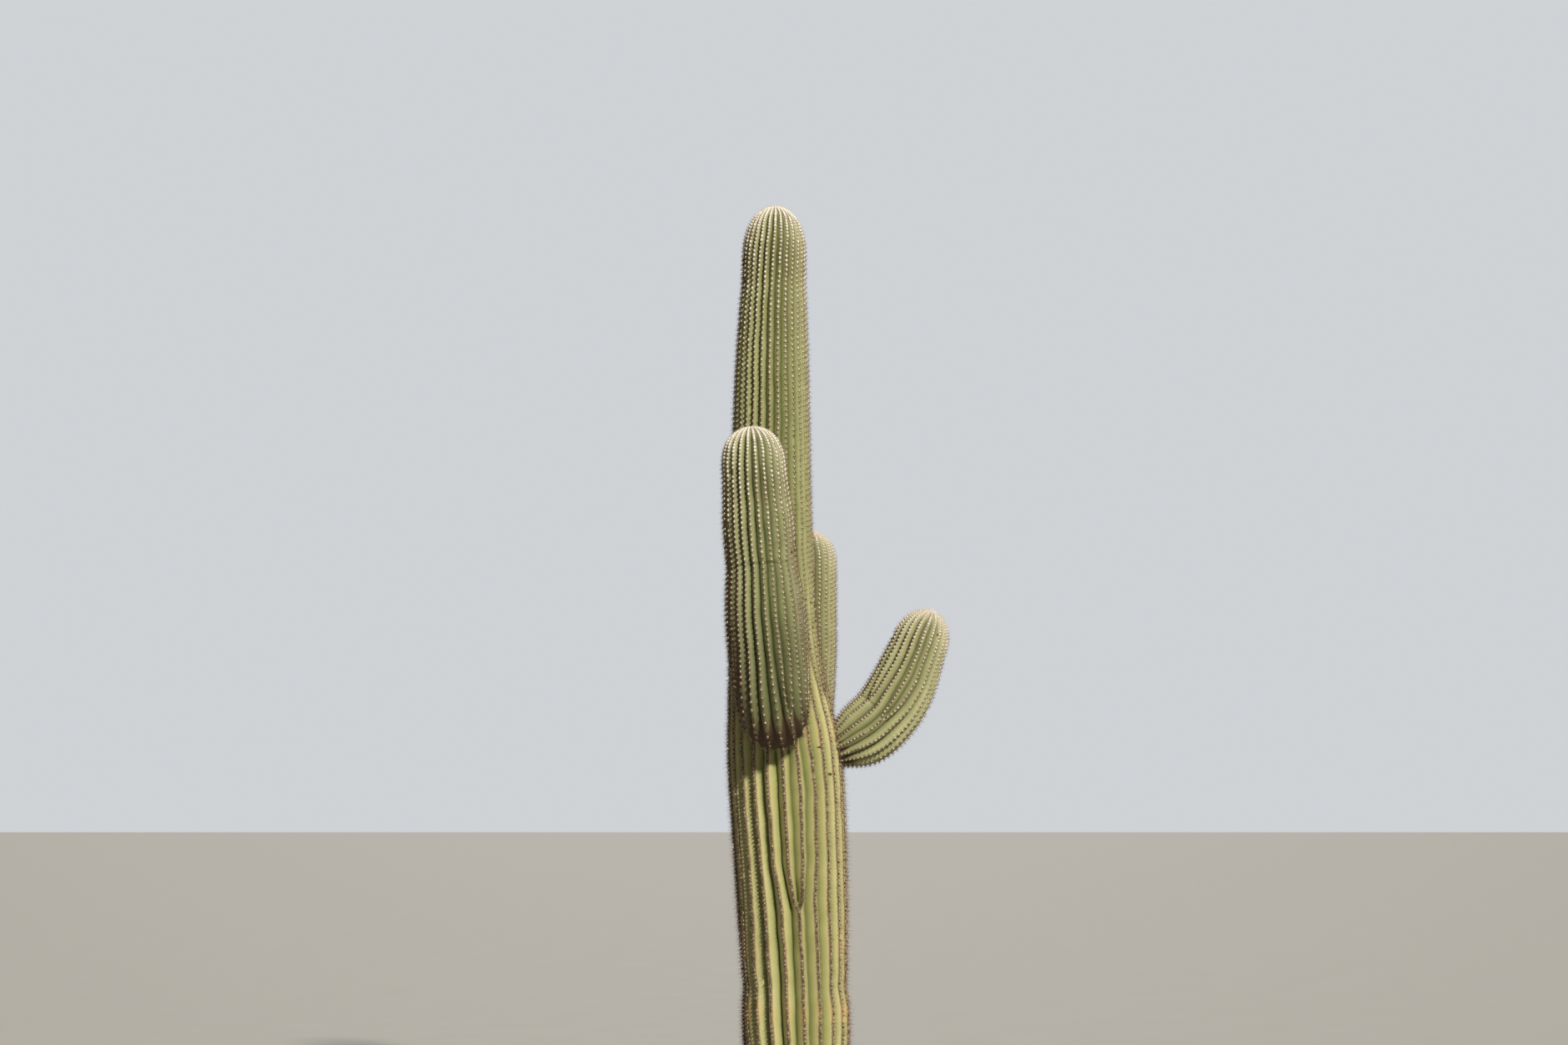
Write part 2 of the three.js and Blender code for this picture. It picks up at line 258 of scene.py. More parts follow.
@dataclass(eq=False)
class Stem:
    """One ribbed stem: its axis, its crest radius, its rib forks, and how its skin changes along the way."""

    name: str
    stands_for: tuple
    axis: object
    length: float
    ribs: int
    dome: float
    first_furrow: tuple  # (distance, azimuth in degrees)
    profile: tuple  # (distance, crest radius)
    forks: tuple  # (furrow, where it opens)
    areole_gaps: tuple  # (distance, gap along the crest)
    age: tuple  # (distance, 0 young to 1 old)
    bark: tuple  # (distance, 0 none to 1 full)
    reach: tuple  # (distance, length of a spine)
    pad_width: tuple  # (distance, width of an areole's wool)
    paleness: tuple = ((0.0, 0.0), (ABOVE_ALL, 0.0))  # (distance, -1 dusky to 1 bleached); dusky is darker older skin and painted shade where the stem faces down
    broad: tuple = ()  # (middle, reach, ((rib, extra share of width), ...))
    pinches: tuple = ()  # (distance, depth)
    creases: tuple = ()  # (distance, depth, facing, spread)
    scars: tuple = ()  # (distance, facing, half length, half height)
    burns_and_shade: tuple = ()  # (from, to, facing, spread, share): brown weathering, partly painted shade on the stem's shaded left side
    blushes: tuple = ()  # (distance, share)
    fullness: float = 2.3
    foot_fade: float = 0.0
    start: float = ARM_START
    rows_per_areole: int = 4
    samples: int = 10

    def radius(self, distance):
        dome_start = self.length - self.dome
        radius = along(self.profile, np.minimum(distance, dome_start))
        for place, depth in self.pinches:
            radius = radius - depth * bell((distance - place) / PINCH_WIDTH)
        up = np.clip((distance - dome_start) / self.dome, 0, 1)
        return radius * np.sqrt(1 - up**self.fullness)

    def rows(self):
        """Ring places, an even number of steps to each areole, measured along the crest and over the dome."""
        dome_start = self.length - self.dome
        dome = dome_start + self.dome * np.sin(np.linspace(0, math.pi / 2, 600)[1:])
        fine = np.concatenate([np.linspace(self.start, dome_start, 3000), dome])
        steps = np.hypot(np.diff(fine), np.diff(self.radius(fine)))
        gaps = along(self.areole_gaps, (fine[1:] + fine[:-1]) / 2) / self.rows_per_areole
        count = np.concatenate([[0], np.cumsum(steps / gaps)])
        last = round(count[-1])
        return np.interp(np.arange(last), count * last / count[-1], fine)

    def furrows(self, distance):
        """How far each furrow has opened, the azimuth of each, and the mean rib's width, both in radians."""
        opened = np.ones((len(distance), self.ribs))
        width = np.ones_like(opened)
        for furrow, start in self.forks:
            opened[:, furrow] = smooth((distance - start) / FORK_LENGTH)
            gain = smooth((distance - start) / SPREAD_LENGTH)
            room = smooth((distance - start + SETTLE_BELOW) / SETTLE_LENGTH)
            for side, first in ((-1, furrow - 1), (1, furrow)):
                width[:, first % self.ribs] += (gain - 1) / 2
                for i, share in enumerate(MAKING_ROOM):
                    width[:, (first + side * (i + 1)) % self.ribs] += (room - gain) * share
        for place, reach, extras in self.broad:
            for rib, extra in extras:
                width[:, rib] += extra * bell((distance - place) / reach)
        total = width.sum(1, keepdims=True)
        run = np.concatenate([np.zeros_like(total), np.cumsum(width, 1)], 1)
        first = np.radians(along(self.first_furrow, distance))[:, None]
        return opened, first + 2 * math.pi * run / total, 2 * math.pi / total[:, 0]

    def wander(self, distance, rng):
        """How far each furrow strays sideways, in metres, as two slow waves. The last is the first."""
        place = np.asarray(distance)[:, None] * 2 * math.pi / WANDER_LENGTH
        phases = rng.random((len(WANDER_WAVES), self.ribs)) * 2 * math.pi
        parts = zip(WANDER_WAVES, phases)
        waves = sum(share * np.sin(place * quickness + phase) for (share, quickness), phase in parts)
        return WANDER * np.concatenate([waves, waves[:, :1]], 1)


TRUNK = Stem(
    "trunk_skin",
    ("trunk",),
    TrunkAxis(),
    length=TRUNK_HEIGHT,
    ribs=28,
    dome=0.290,
    fullness=2.8,
    start=0.0,
    foot_fade=0.520,
    rows_per_areole=2,
    samples=8,
    first_furrow=(
        (0.00, 9.0), (0.72, 9.0), (1.10, 7.6), (1.35, 5.5), (1.70, 4.8), (3.60, 4.2), (3.90, 2.9),
        (4.27, 4.4), (4.46, 8.0), (TRUNK_HEIGHT, 8.0),
    ),
    profile=(
        (0.000, 0.257), (0.060, 0.240), (0.170, 0.228), (0.330, 0.229), (0.620, 0.249), (0.900, 0.245),
        (1.200, 0.257), (1.750, 0.270), (1.960, 0.266), (2.200, 0.238), (2.420, 0.214), (2.700, 0.200),
        (3.550, 0.179), (3.790, 0.172), (4.120, 0.156), (4.294, 0.149),
    ),
    pinches=((0.825, 0.007), (4.190, 0.003)),
    forks=((0, 1.175), (9, 1.350), (19, 0.980), (5, 2.180), (13, 2.300), (23, 2.250), (26, 2.650)),
    broad=(
        (0.90, 0.28, ((22, 0.120), (23, 0.120), (24, 0.205), (25, 0.065), (26, 0.065), (27, 0.070))),
        (0.90, 0.28, ((0, 0.070), (1, 0.135), (2, -0.03))),
        (1.72, 0.14, ((26, 0.10), (0, 0.22), (1, -0.08), (2, -0.08))),
    ),
    areole_gaps=(
        (0.0, 0.0264), (0.45, 0.0193), (1.9, 0.0193), (2.6, 0.0239), (4.1, 0.0254), (4.4, 0.019),
        (4.59, 0.011),
    ),
    age=((0.0, 1.0), (2.0, 1.0), (2.45, 0.55), (3.0, 0.15), (3.8, 0.0)),
    bark=((0.0, 1.0), (0.12, 0.9), (0.40, 0.35), (0.62, 0.0)),
    reach=(
        (0.0, 0.033), (1.3, 0.033), (1.9, 0.030), (2.5, 0.027), (3.9, 0.025), (4.3, 0.020),
        (4.50, 0.015), (4.58, 0.010),
    ),
    pad_width=(
        (0.0, 0.010), (1.9, 0.009), (2.5, 0.0082), (3.6, 0.0095), (4.1, 0.0125), (4.5, 0.0138),
        (4.59, 0.012),
    ),
    blushes=((0.715, 0.7), (1.020, 0.25), (2.020, 0.4)),
    scars=((1.948, 42, 0.022, 0.006), (1.560, 88, 0.012, 0.010), (3.150, 70, 0.010, 0.012)),
    # Brown weathering, and painted shade on the trunk's shaded left side
    burns_and_shade=(
        (-0.30, 1.95, -102, 46, 0.75),
        (2.60, 4.48, -98, 36, 0.40),
        (4.08, 4.46, -82, 34, 0.75),
        (4.14, 4.45, 0, ALL_ROUND, 0.25),
        (3.90, 4.14, 0, ALL_ROUND, 0.14),
    ),
)

FRONT_ARM = Stem(
    "front_arm_skin",
    ("front_arm_elbow", "front_arm_upright"),
    ArmAxis(1.728, start_height=2.035, azimuth=-5.4, elevation=5, tilt=(-0.08, 0), bend=(0.200, 0.590)),
    length=1.728,
    ribs=24,
    dome=0.215,
    fullness=2.8,
    first_furrow=(
        (0.00, -0.5), (0.50, -0.5), (0.63, -1.3), (0.82, -1.9), (1.06, -0.3), (1.25, -0.2), (1.45, 0.2),
        (1.61, 3.0), (1.728, 3.0),
    ),
    profile=(
        (0.000, 0.095), (0.225, 0.106), (0.300, 0.143), (0.420, 0.166), (0.620, 0.179), (0.760, 0.184),
        (0.880, 0.180), (1.000, 0.169), (1.090, 0.162), (1.275, 0.161), (1.375, 0.154), (1.513, 0.145),
    ),
    pinches=((1.075, 0.003),),
    forks=(
        (2, 0.405), (5, 0.390), (8, 0.520), (10, 0.360),
        (12, 0.450), (14, 0.560), (16, 0.410), (18, 0.480),
    ),
    broad=(
        (0.78, 0.15, ((21, -0.05), (22, -0.05), (23, -0.06), (0, -0.07))),
        (0.76, 0.16, ((1, -0.07),)),
        (0.70, 0.16, ((2, -0.10),)),
        (0.68, 0.15, ((3, -0.14),)),
    ),
    areole_gaps=((0.0, 0.018), (0.5, 0.023), (1.4, 0.0235), (1.6, 0.018), (1.728, 0.010)),
    age=((0.0, 0.95), (0.37, 0.90), (0.46, 0.30), (0.60, 0.08), (0.9, 0.0)),
    bark=((0.0, 1.0), (0.33, 1.0), (0.39, 0.85), (0.45, 0.36), (0.53, 0.0)),
    reach=((0.0, 0.018), (0.5, 0.026), (1.3, 0.025), (1.5, 0.020), (1.66, 0.015), (1.728, 0.010)),
    pad_width=((0.0, 0.006), (0.4, 0.009), (1.0, 0.009), (1.35, 0.0125), (1.62, 0.0138), (1.728, 0.012)),
    # The elbow is dusky: older, darker skin, and painted shade on its downward-facing bowl
    paleness=((0.0, -0.60), (0.40, -0.58), (0.62, -0.46), (0.85, -0.20), (1.05, 0.0), (1.728, 0.0)),
    creases=((1.075, 0.0035, 0, 80),),
    scars=((1.030, 12, 0.004, 0.007),),
    # Brown weathering, and painted shade on the front arm's shaded left limb
    burns_and_shade=(
        (0.00, 1.20, -86, 60, 0.95),
        (0.10, 1.76, -88, 55, 0.78),
        (0.30, 1.60, 88, 42, 0.42),
        (1.30, 1.57, 0, ALL_ROUND, 0.25),
    ),
)

BACK_ARM = Stem(
    "back_arm_skin",
    ("back_arm_elbow", "back_arm_upright"),
    ArmAxis(1.351, start_height=1.975, azimuth=161, elevation=5, tilt=(0, 0), bend=(0.200, 0.530)),
    length=1.351,
    ribs=22,
    dome=0.150,
    first_furrow=((0.0, 0.0), (1.351, 0.0)),
    profile=(
        (0.000, 0.078), (0.225, 0.084), (0.300, 0.100), (0.420, 0.106), (0.600, 0.119), (0.840, 0.128),
        (1.120, 0.128), (1.201, 0.126),
    ),
    pinches=((0.960, 0.002),),
    forks=((3, 0.400), (8, 0.350), (13, 0.450), (18, 0.380)),
    areole_gaps=((0.0, 0.016), (0.5, 0.021), (1.1, 0.021), (1.25, 0.016), (1.351, 0.010)),
    age=((0.0, 0.45), (0.45, 0.15), (0.9, 0.0)),
    bark=((0.0, 1.0), (0.27, 1.0), (0.36, 0.55), (0.50, 0.0)),
    reach=((0.0, 0.016), (0.5, 0.024), (1.1, 0.020), (1.351, 0.016)),
    pad_width=((0.0, 0.006), (0.5, 0.008), (1.0, 0.0095), (1.25, 0.010), (1.351, 0.009)),
    paleness=((0.0, 0.25), (1.351, 0.30)),
)

RIGHT_ARM = Stem(
    "right_arm_skin",
    ("right_arm",),
    ArmAxis(1.100, start_height=1.834, azimuth=91, elevation=24.3, tilt=(0.395, 0), bend=(0.225, 0.820)),
    length=1.100,
    ribs=20,
    dome=0.190,
    first_furrow=((0.0, 9.0), (0.45, 8.0), (0.62, 6.0), (0.85, 9.0), (1.1, 9.0)),
    profile=(
        (0.000, 0.074), (0.240, 0.080), (0.285, 0.097), (0.345, 0.128), (0.400, 0.147), (0.485, 0.155),
        (0.635, 0.155), (0.770, 0.147), (0.910, 0.130),
    ),
    pinches=((0.560, 0.002),),
    forks=((2, 0.400), (7, 0.470), (12, 0.555), (15, 0.500)),
    areole_gaps=((0.0, 0.015), (0.45, 0.020), (0.85, 0.020), (1.0, 0.016), (1.1, 0.010)),
    age=((0.0, 0.5), (0.45, 0.2), (0.8, 0.0)),
    bark=((0.0, 1.0), (0.28, 0.9), (0.34, 0.4), (0.42, 0.0)),
    reach=((0.0, 0.016), (0.45, 0.024), (0.85, 0.020), (1.1, 0.016)),
    pad_width=((0.0, 0.006), (0.45, 0.009), (0.8, 0.010), (1.0, 0.010), (1.1, 0.009)),
    paleness=((0.0, 0.25), (1.100, 0.25)),
    creases=((0.550, 0.004, 222, 32),),
)

ARMS = (FRONT_ARM, BACK_ARM, RIGHT_ARM)

# Height bands that the trunk's areoles and spines are parted in: (name, from, to)
TRUNK_BANDS = (
    ("foot", 0.0, 1.20),
    ("waist", 1.20, 2.20),
    ("shoulder", 2.20, 3.40),
    ("crown", 3.40, ABOVE_ALL),
)


class Tube:
    """A stem's skin at crest level, in rows and columns, with what its relief, looks and areoles need."""

    def __init__(self, stem, seed):
        rng = np.random.default_rng(seed)
        self.stem = stem
        self.distance = stem.rows()
        self.radius = stem.radius(self.distance)
        self.shape = (len(self.distance), stem.ribs * stem.samples)
        self.centre, self.belly, self.side, self.up = stem.axis.frames(self.distance)
        self.opened, azimuth, self.mean_width = stem.furrows(self.distance)
        wander = stem.wander(self.distance, rng) / np.maximum(self.radius, SLIM_RADIUS / 2)[:, None]
        self.azimuth = azimuth + wander * np.minimum(1, self.radius / SLIM_RADIUS)[:, None]

        self.rib = np.repeat(np.arange(stem.ribs), stem.samples)
        even = np.arange(stem.samples) / stem.samples * 2 - 1
        self.rib_lines = (1 - FURROW_CROWDING) * even + FURROW_CROWDING * np.sin(even * math.pi / 2)
        self.across = np.tile(self.rib_lines, stem.ribs)
        self.rib_angle = self.azimuth[:, self.rib + 1] - self.azimuth[:, self.rib]
        self.angle = self.azimuth[:, self.rib] + self.rib_angle * ((self.across + 1) / 2)
        cosine, sine = np.cos(self.angle)[..., None], np.sin(self.angle)[..., None]
        self.outward = self.belly[:, None] * cosine + self.side[:, None] * sine
        self.points = self.centre[:, None] + self.outward * self.radius[:, None, None]

        self.numbers = {**self.by_row(), **self.rib_places(), **self.marks()}
        self.numbers.update(self.areoles(rng), bark=self.bark())

    def turn_from(self, azimuth):
        """How far round the stem each point lies from an azimuth, in radians either way."""
        return (self.angle - azimuth + math.pi) % (2 * math.pi) - math.pi

    def side_share(self, facing, spread):
        """1 on the side of the stem that faces that way, and 0 beyond the spread from it."""
        turn = self.turn_from(math.radians(facing))
        return smooth(SIDE_EDGE * (1 - np.abs(turn) / math.radians(spread)))

    def by_row(self):
        """What is the same all round the stem."""
        stem, distance = self.stem, self.distance
        foot = FOOT_FURROWS + (1 - FOOT_FURROWS) * smooth(distance / stem.foot_fade) if stem.foot_fade else 1
        blush = np.zeros(len(distance))
        for place, share in stem.blushes:
            blush += share * bell((distance - place) / BLUSH_WIDTH)
        values = {
            "furrow_depth": self.radius * self.mean_width * RIB_DEPTH_SHARE * foot,
            "age": along(stem.age, distance),
            "paleness": along(stem.paleness, distance),
            "blush": blush,
            "spine_reach": along(stem.reach, distance),
            "pad_width": along(stem.pad_width, distance),
            "from_tip": stem.length - distance,
        }
        return {name: np.broadcast_to(value[:, None], self.shape) for name, value in values.items()}

    def rib_places(self):
        """Where each point is across its own rib, and across the wider rib that two merged ones make."""
        across = self.across
        before, after = self.opened[:, self.rib], self.opened[:, (self.rib + 1) % self.stem.ribs]
        joined = np.where(before < 1, (across + 1) / 2, np.where(after < 1, (across - 1) / 2, across))
        crest = (1 - after) - (1 - before)
        half_width = self.radius[:, None] * self.rib_angle / 2
        return {
            "across": np.broadcast_to(across, self.shape),
            "joined": joined,
            "parted": np.where(before < 1, before, after),
            "off_crest": np.abs(across - crest) * half_width,
        }

    def marks(self):
        """Burns with painted shade, creases and scars, each from 0 to 1. A crease also dips into the points.
        """
        stem, distance = self.stem, self.distance
        burn, crease, scar = (np.zeros(self.shape) for _ in range(3))
        for low, high, facing, spread, share in stem.burns_and_shade:
            fade = BURN_AND_SHADE_FADE * (high - low)
            ends_fade = smooth((distance - low) / fade) * smooth((high - distance) / fade)
            burn = np.maximum(burn, share * self.side_share(facing, spread) * ends_fade[:, None])
        for place, dip, facing, spread in stem.creases:
            line = self.side_share(facing, spread) * bell((distance - place) / CREASE_WIDTH)[:, None]
            self.points -= self.outward * (line * dip)[..., None]
            crease = np.maximum(crease, line)
        for place, facing, half_length, half_height in stem.scars:
            arc = self.turn_from(math.radians(facing)) * self.radius[:, None]
            rise = ((distance - place) / half_height)[:, None]
            scar = np.maximum(scar, np.exp(-((arc / half_length) ** 4) - rise**2))
        for furrow, start in stem.forks:
            arc = self.turn_from(self.azimuth[:, furrow, None]) * self.radius[:, None]
            rise = ((distance - start) / FORK_SCAR_HEIGHT)[:, None]
            scar = np.maximum(scar, FORK_SCAR * np.exp(-((arc / FORK_SCAR_WIDTH) ** 2) - rise**2))
        return {"burn": burn, "crease": crease, "scar": scar}

    def bark(self):
        """Bark at the foot and round the arms' roots, and on an arm mostly below, where it bends away."""
        bark = along(self.stem.bark, self.distance)[:, None]
        if self.stem is not TRUNK:
            below = 0.5 + 0.5 * np.cos(self.angle)
            return bark * (BARK_ABOVE + (1 - BARK_ABOVE) * below)
        for arm in ARMS:
            root = arm.axis.frames([TRUNK_EDGE])[0][0]
            neck = arm.radius(np.array([TRUNK_EDGE]))[0]
            away = np.linalg.norm(self.points - root, axis=-1)
            bark = np.maximum(bark, COLLAR_BARK * smooth((neck + COLLAR_REACH - away) / COLLAR_FADE))
        return bark

    def areoles(self, rng):
        """Areoles on every nth ring, by turns on neighbouring ribs, and the swelling under each."""
        stem, step, ribs = self.stem, self.stem.rows_per_areole, np.arange(self.stem.ribs)
        rows, columns = self.shape
        turn = (np.arange(rows)[:, None] + ribs % 2 * (step // 2)) % step
        merged = self.opened < MERGED
        turn = np.where(merged, np.roll(turn, 1, axis=1), turn)
        swelling = 0.5 + 0.5 * np.cos(2 * np.pi * turn[:, self.rib] / step)

        girth = 2 * np.pi * self.radius[:, None]
        kept = np.clip(girth / CROWDED, 1, stem.ribs)
        chosen = np.floor((ribs + 1) * kept / stem.ribs) != np.floor(ribs * kept / stem.ribs)
        grows = (turn == 0) & ~merged & (chosen | (girth / stem.ribs >= CROWDED))
        grows &= self.centre[:, 2:] > FOOT_CLEARANCE
        grows &= self.distance[:, None] > stem.start + ROOT_CLEARANCE
        grows &= rng.random(grows.shape) > BALD_SHARE

        own_crest = (1 - self.opened[:, (ribs + 1) % stem.ribs]) - (1 - self.opened)
        nearest = np.abs(own_crest[..., None] - np.append(self.rib_lines, 1.0)).argmin(-1)
        column = (nearest + ribs * stem.samples) % columns
        areole = np.zeros(self.shape)
        row, rib = np.nonzero(grows)
        areole[row, column[row, rib]] = 1
        return {"areole": areole, "tubercle": swelling * bell(self.numbers["off_crest"] / TUBERCLE_WIDTH)}

    def mesh(self):
        """The tube closed by one point at each end, with its numbers and vectors as attributes."""
        rows, columns = self.shape
        grid = np.arange(rows * columns).reshape(rows, columns)
        right = np.roll(grid, -1, axis=1)
        quads = np.stack([grid[:-1], right[:-1], right[1:], grid[1:]], -1).reshape(-1, 4)
        foot_pole, tip_pole = rows * columns, rows * columns + 1
        foot_fan = np.stack([np.full(columns, foot_pole), right[0], grid[0]], -1)
        tip_fan = np.stack([np.full(columns, tip_pole), grid[-1], right[-1]], -1)
        corners = np.concatenate([quads.ravel(), foot_fan.ravel(), tip_fan.ravel()])
        sizes = np.concatenate([np.full(len(quads), 4), np.full(2 * columns, 3)])
        tip = self.centre[-1] + self.up[-1] * (self.stem.length - self.distance[-1])
        positions = np.concatenate([self.points.reshape(-1, 3), self.centre[:1], tip[None]])

        mesh = bpy.data.meshes.new(self.stem.name)
        mesh.vertices.add(len(positions))
        mesh.vertices.foreach_set("co", positions.ravel())
        mesh.loops.add(len(corners))
        mesh.loops.foreach_set("vertex_index", corners.astype(np.int32))
        mesh.polygons.add(len(sizes))
        mesh.polygons.foreach_set("loop_start", np.concatenate([[0], np.cumsum(sizes)[:-1]]).astype(np.int32))
        mesh.update(calc_edges=True)

        ends = {"areole": (0, 1), "tubercle": (0, 0), "furrow_depth": (0, 0)}
        for name, values in self.numbers.items():
            low, high = ends.get(name, (values[0, 0], values[-1, 0]))
            store(mesh, name, np.concatenate([values.ravel(), [low, high]]))
        height = np.broadcast_to(self.distance[:, None], self.shape)
        sides = (np.cos(self.angle) * UNROLLED_RADIUS, np.sin(self.angle) * UNROLLED_RADIUS)
        straight = np.stack([*sides, height], -1)
        vectors = {
            "outward": (self.outward, -self.up[0], self.up[-1]),
            "stem_up": (np.broadcast_to(self.up[:, None], self.points.shape), self.up[0], self.side[-1]),
            "straight": (straight, straight[0, 0], straight[-1, 0]),
        }
        for name, (values, low, high) in vectors.items():
            store(mesh, name, np.concatenate([values.reshape(-1, 3), [low], [high]]))
        return mesh


def store(mesh, name, values):
    """A number or a vector for each vertex, under that name."""
    kind, key = ("FLOAT", "value") if values.ndim == 1 else ("FLOAT_VECTOR", "vector")
    attribute = mesh.attributes.new(name, kind, "POINT")
    attribute.data.foreach_set(key, values.astype(np.float32).ravel())


MATH_KINDS = ("ADD", "SUBTRACT", "MULTIPLY", "DIVIDE", "MULTIPLY_ADD", "POWER", "ABSOLUTE", "SINE", "COSINE")
MATH_KINDS += ("MINIMUM", "MAXIMUM", "LESS_THAN", "GREATER_THAN", "COMPARE")

# A word for each kind of node in use: (Blender's node, its inputs in order, its output, its settings)
NODE_KINDS = {
    **{kind.lower(): ("ShaderNodeMath", (0, 1, 2), 0, {"operation": kind}) for kind in MATH_KINDS},
    "mix": ("ShaderNodeMix", (0, 2, 3), 0, {}),
    "blend": ("ShaderNodeMix", (0, 6, 7), 2, {"data_type": "RGBA"}),
    "ramp": ("ShaderNodeMapRange", (0, 1, 2), 0, {"interpolation_type": "SMOOTHSTEP"}),
    "noise": ("ShaderNodeTexNoise", ("Vector", "Scale", "Detail"), 0, {}),
    "cells": ("ShaderNodeTexVoronoi", ("Vector", "Scale"), "Distance", {}),
    "red": ("ShaderNodeSeparateColor", (0,), 0, {}),
    "stretch": ("ShaderNodeMapping", ("Vector", "Scale"), 0, {}),
    "skin number": ("ShaderNodeAttribute", (), "Fac", {}),
    "skin vector": ("ShaderNodeAttribute", (), "Vector", {}),
    "object place": ("ShaderNodeTexCoord", (), "Object", {}),
    "bump": ("ShaderNodeBump", ("Height", "Distance", "Strength"), 0, {}),
    "background": ("ShaderNodeBackground", ("Color", "Strength"), 0, {}),
    "camera ray": ("ShaderNodeLightPath", (), "Is Camera Ray", {}),
    "mix shader": ("ShaderNodeMixShader", (0, 1, 2), 0, {}),
    "vector": ("ShaderNodeCombineXYZ", (0, 1, 2), 0, {}),
    "height": ("ShaderNodeSeparateXYZ", (0,), "Z", {}),
    "vector add": ("ShaderNodeVectorMath", (0, 1), 0, {"operation": "ADD"}),
    "vector scale": ("ShaderNodeVectorMath", (0, "Scale"), 0, {"operation": "SCALE"}),
    "vector cross": ("ShaderNodeVectorMath", (0, 1), 0, {"operation": "CROSS_PRODUCT"}),
    "named": ("GeometryNodeInputNamedAttribute", (0,), "Attribute", {"data_type": "FLOAT"}),
    "named vector": ("GeometryNodeInputNamedAttribute", (0,), "Attribute", {"data_type": "FLOAT_VECTOR"}),
    "normal": ("GeometryNodeInputNormal", (), "Normal", {}),
    "position": ("GeometryNodeInputPosition", (), 0, {}),
    "random": ("FunctionNodeRandomValue", (2, 3, "Seed"), 1, {"data_type": "FLOAT"}),
    "store": ("GeometryNodeStoreNamedAttribute", ("Geometry", "Name", "Value"), 0, {"domain": "POINT"}),
    "move": ("GeometryNodeSetPosition", ("Geometry", "Offset"), 0, {}),
    "smooth": ("GeometryNodeSetShadeSmooth", ("Geometry", "Shade Smooth"), 0, {}),
    "realize": ("GeometryNodeRealizeInstances", ("Geometry",), 0, {}),
    "paint": ("GeometryNodeSetMaterial", ("Geometry", "Material", "Selection"), 0, {}),
    "points": ("GeometryNodeMeshToPoints", ("Mesh", "Selection"), 0, {}),
    "duplicate": ("GeometryNodeDuplicateElements", ("Geometry", "Amount"), "Geometry", {"domain": "POINT"}),
    "ball": ("GeometryNodeMeshIcoSphere", ("Radius", "Subdivisions"), 0, {}),
    "cone": ("GeometryNodeMeshCone", ("Vertices", "Radius Top", "Radius Bottom", "Depth"), 0, {}),
    "face": ("FunctionNodeAxesToRotation", ("Primary Axis", "Secondary Axis"), 0, {}),
    "aim": ("FunctionNodeAlignRotationToVector", ("Vector",), 0, {"axis": "Z"}),
    "instances": ("GeometryNodeInstanceOnPoints", ("Points", "Instance", "Rotation", "Scale"), 0, {}),
}


def feed(node, feeds):
    """Links or sets a node's inputs, given by name or number."""
    for place, value in feeds.items():
        if isinstance(value, bpy.types.NodeSocket):
            node.id_data.links.new(value, node.inputs[place])
        else:
            node.inputs[place].default_value = value


def add(tree, word, *values, **settings):
    """Adds the kind of node that a word stands for, feeds its inputs in order, and returns its output."""
    kind, places, output, usual_settings = NODE_KINDS[word]
    node = tree.nodes.new(kind)
    for key, value in {**usual_settings, **settings}.items():
        setattr(node, key, value)
    feed(node, dict(zip(places, values)))
    return node.outputs[output]


def new_tree(name, inputs):
    """An empty Geometry Nodes tree with named inputs, each given as name: (socket type, default)."""
    tree = bpy.data.node_groups.new(name, "GeometryNodeTree")
    for in_out in ("INPUT", "OUTPUT"):
        tree.interface.new_socket("Geometry", in_out=in_out, socket_type="NodeSocketGeometry")
    for label, (kind, default) in inputs.items():
        socket = tree.interface.new_socket(label, in_out="INPUT", socket_type=kind)
        if default is not None:
            socket.default_value = default
    return tree, tree.nodes.new("NodeGroupInput").outputs


def finished_tree(tree, geometry):
    """The tree with this geometry as what comes out of it."""
    feed(tree.nodes.new("NodeGroupOutput"), {0: geometry})
    return tree


def grow(name, mesh, tree, values):
    """Runs a Geometry Nodes tree on a mesh and returns the plain mesh object that comes out of it."""
    piece = bpy.data.objects.new(name, mesh)
    bpy.context.scene.collection.objects.link(piece)
    modifier = piece.modifiers.new(tree.name, "NODES")
    modifier.node_group = tree
    for item in tree.interface.items_tree:
        if item.in_out == "INPUT" and item.name in values:
            modifier[item.identifier] = values[item.name]
    bpy.context.view_layer.update()
    graph = bpy.context.evaluated_depsgraph_get()
    grown = piece.evaluated_get(graph)
    made = bpy.data.meshes.new_from_object(grown, preserve_all_data_layers=True, depsgraph=graph)
    piece.modifiers.clear()
    piece.data = made
    made.name = name
    bpy.data.meshes.remove(mesh)
    return piece


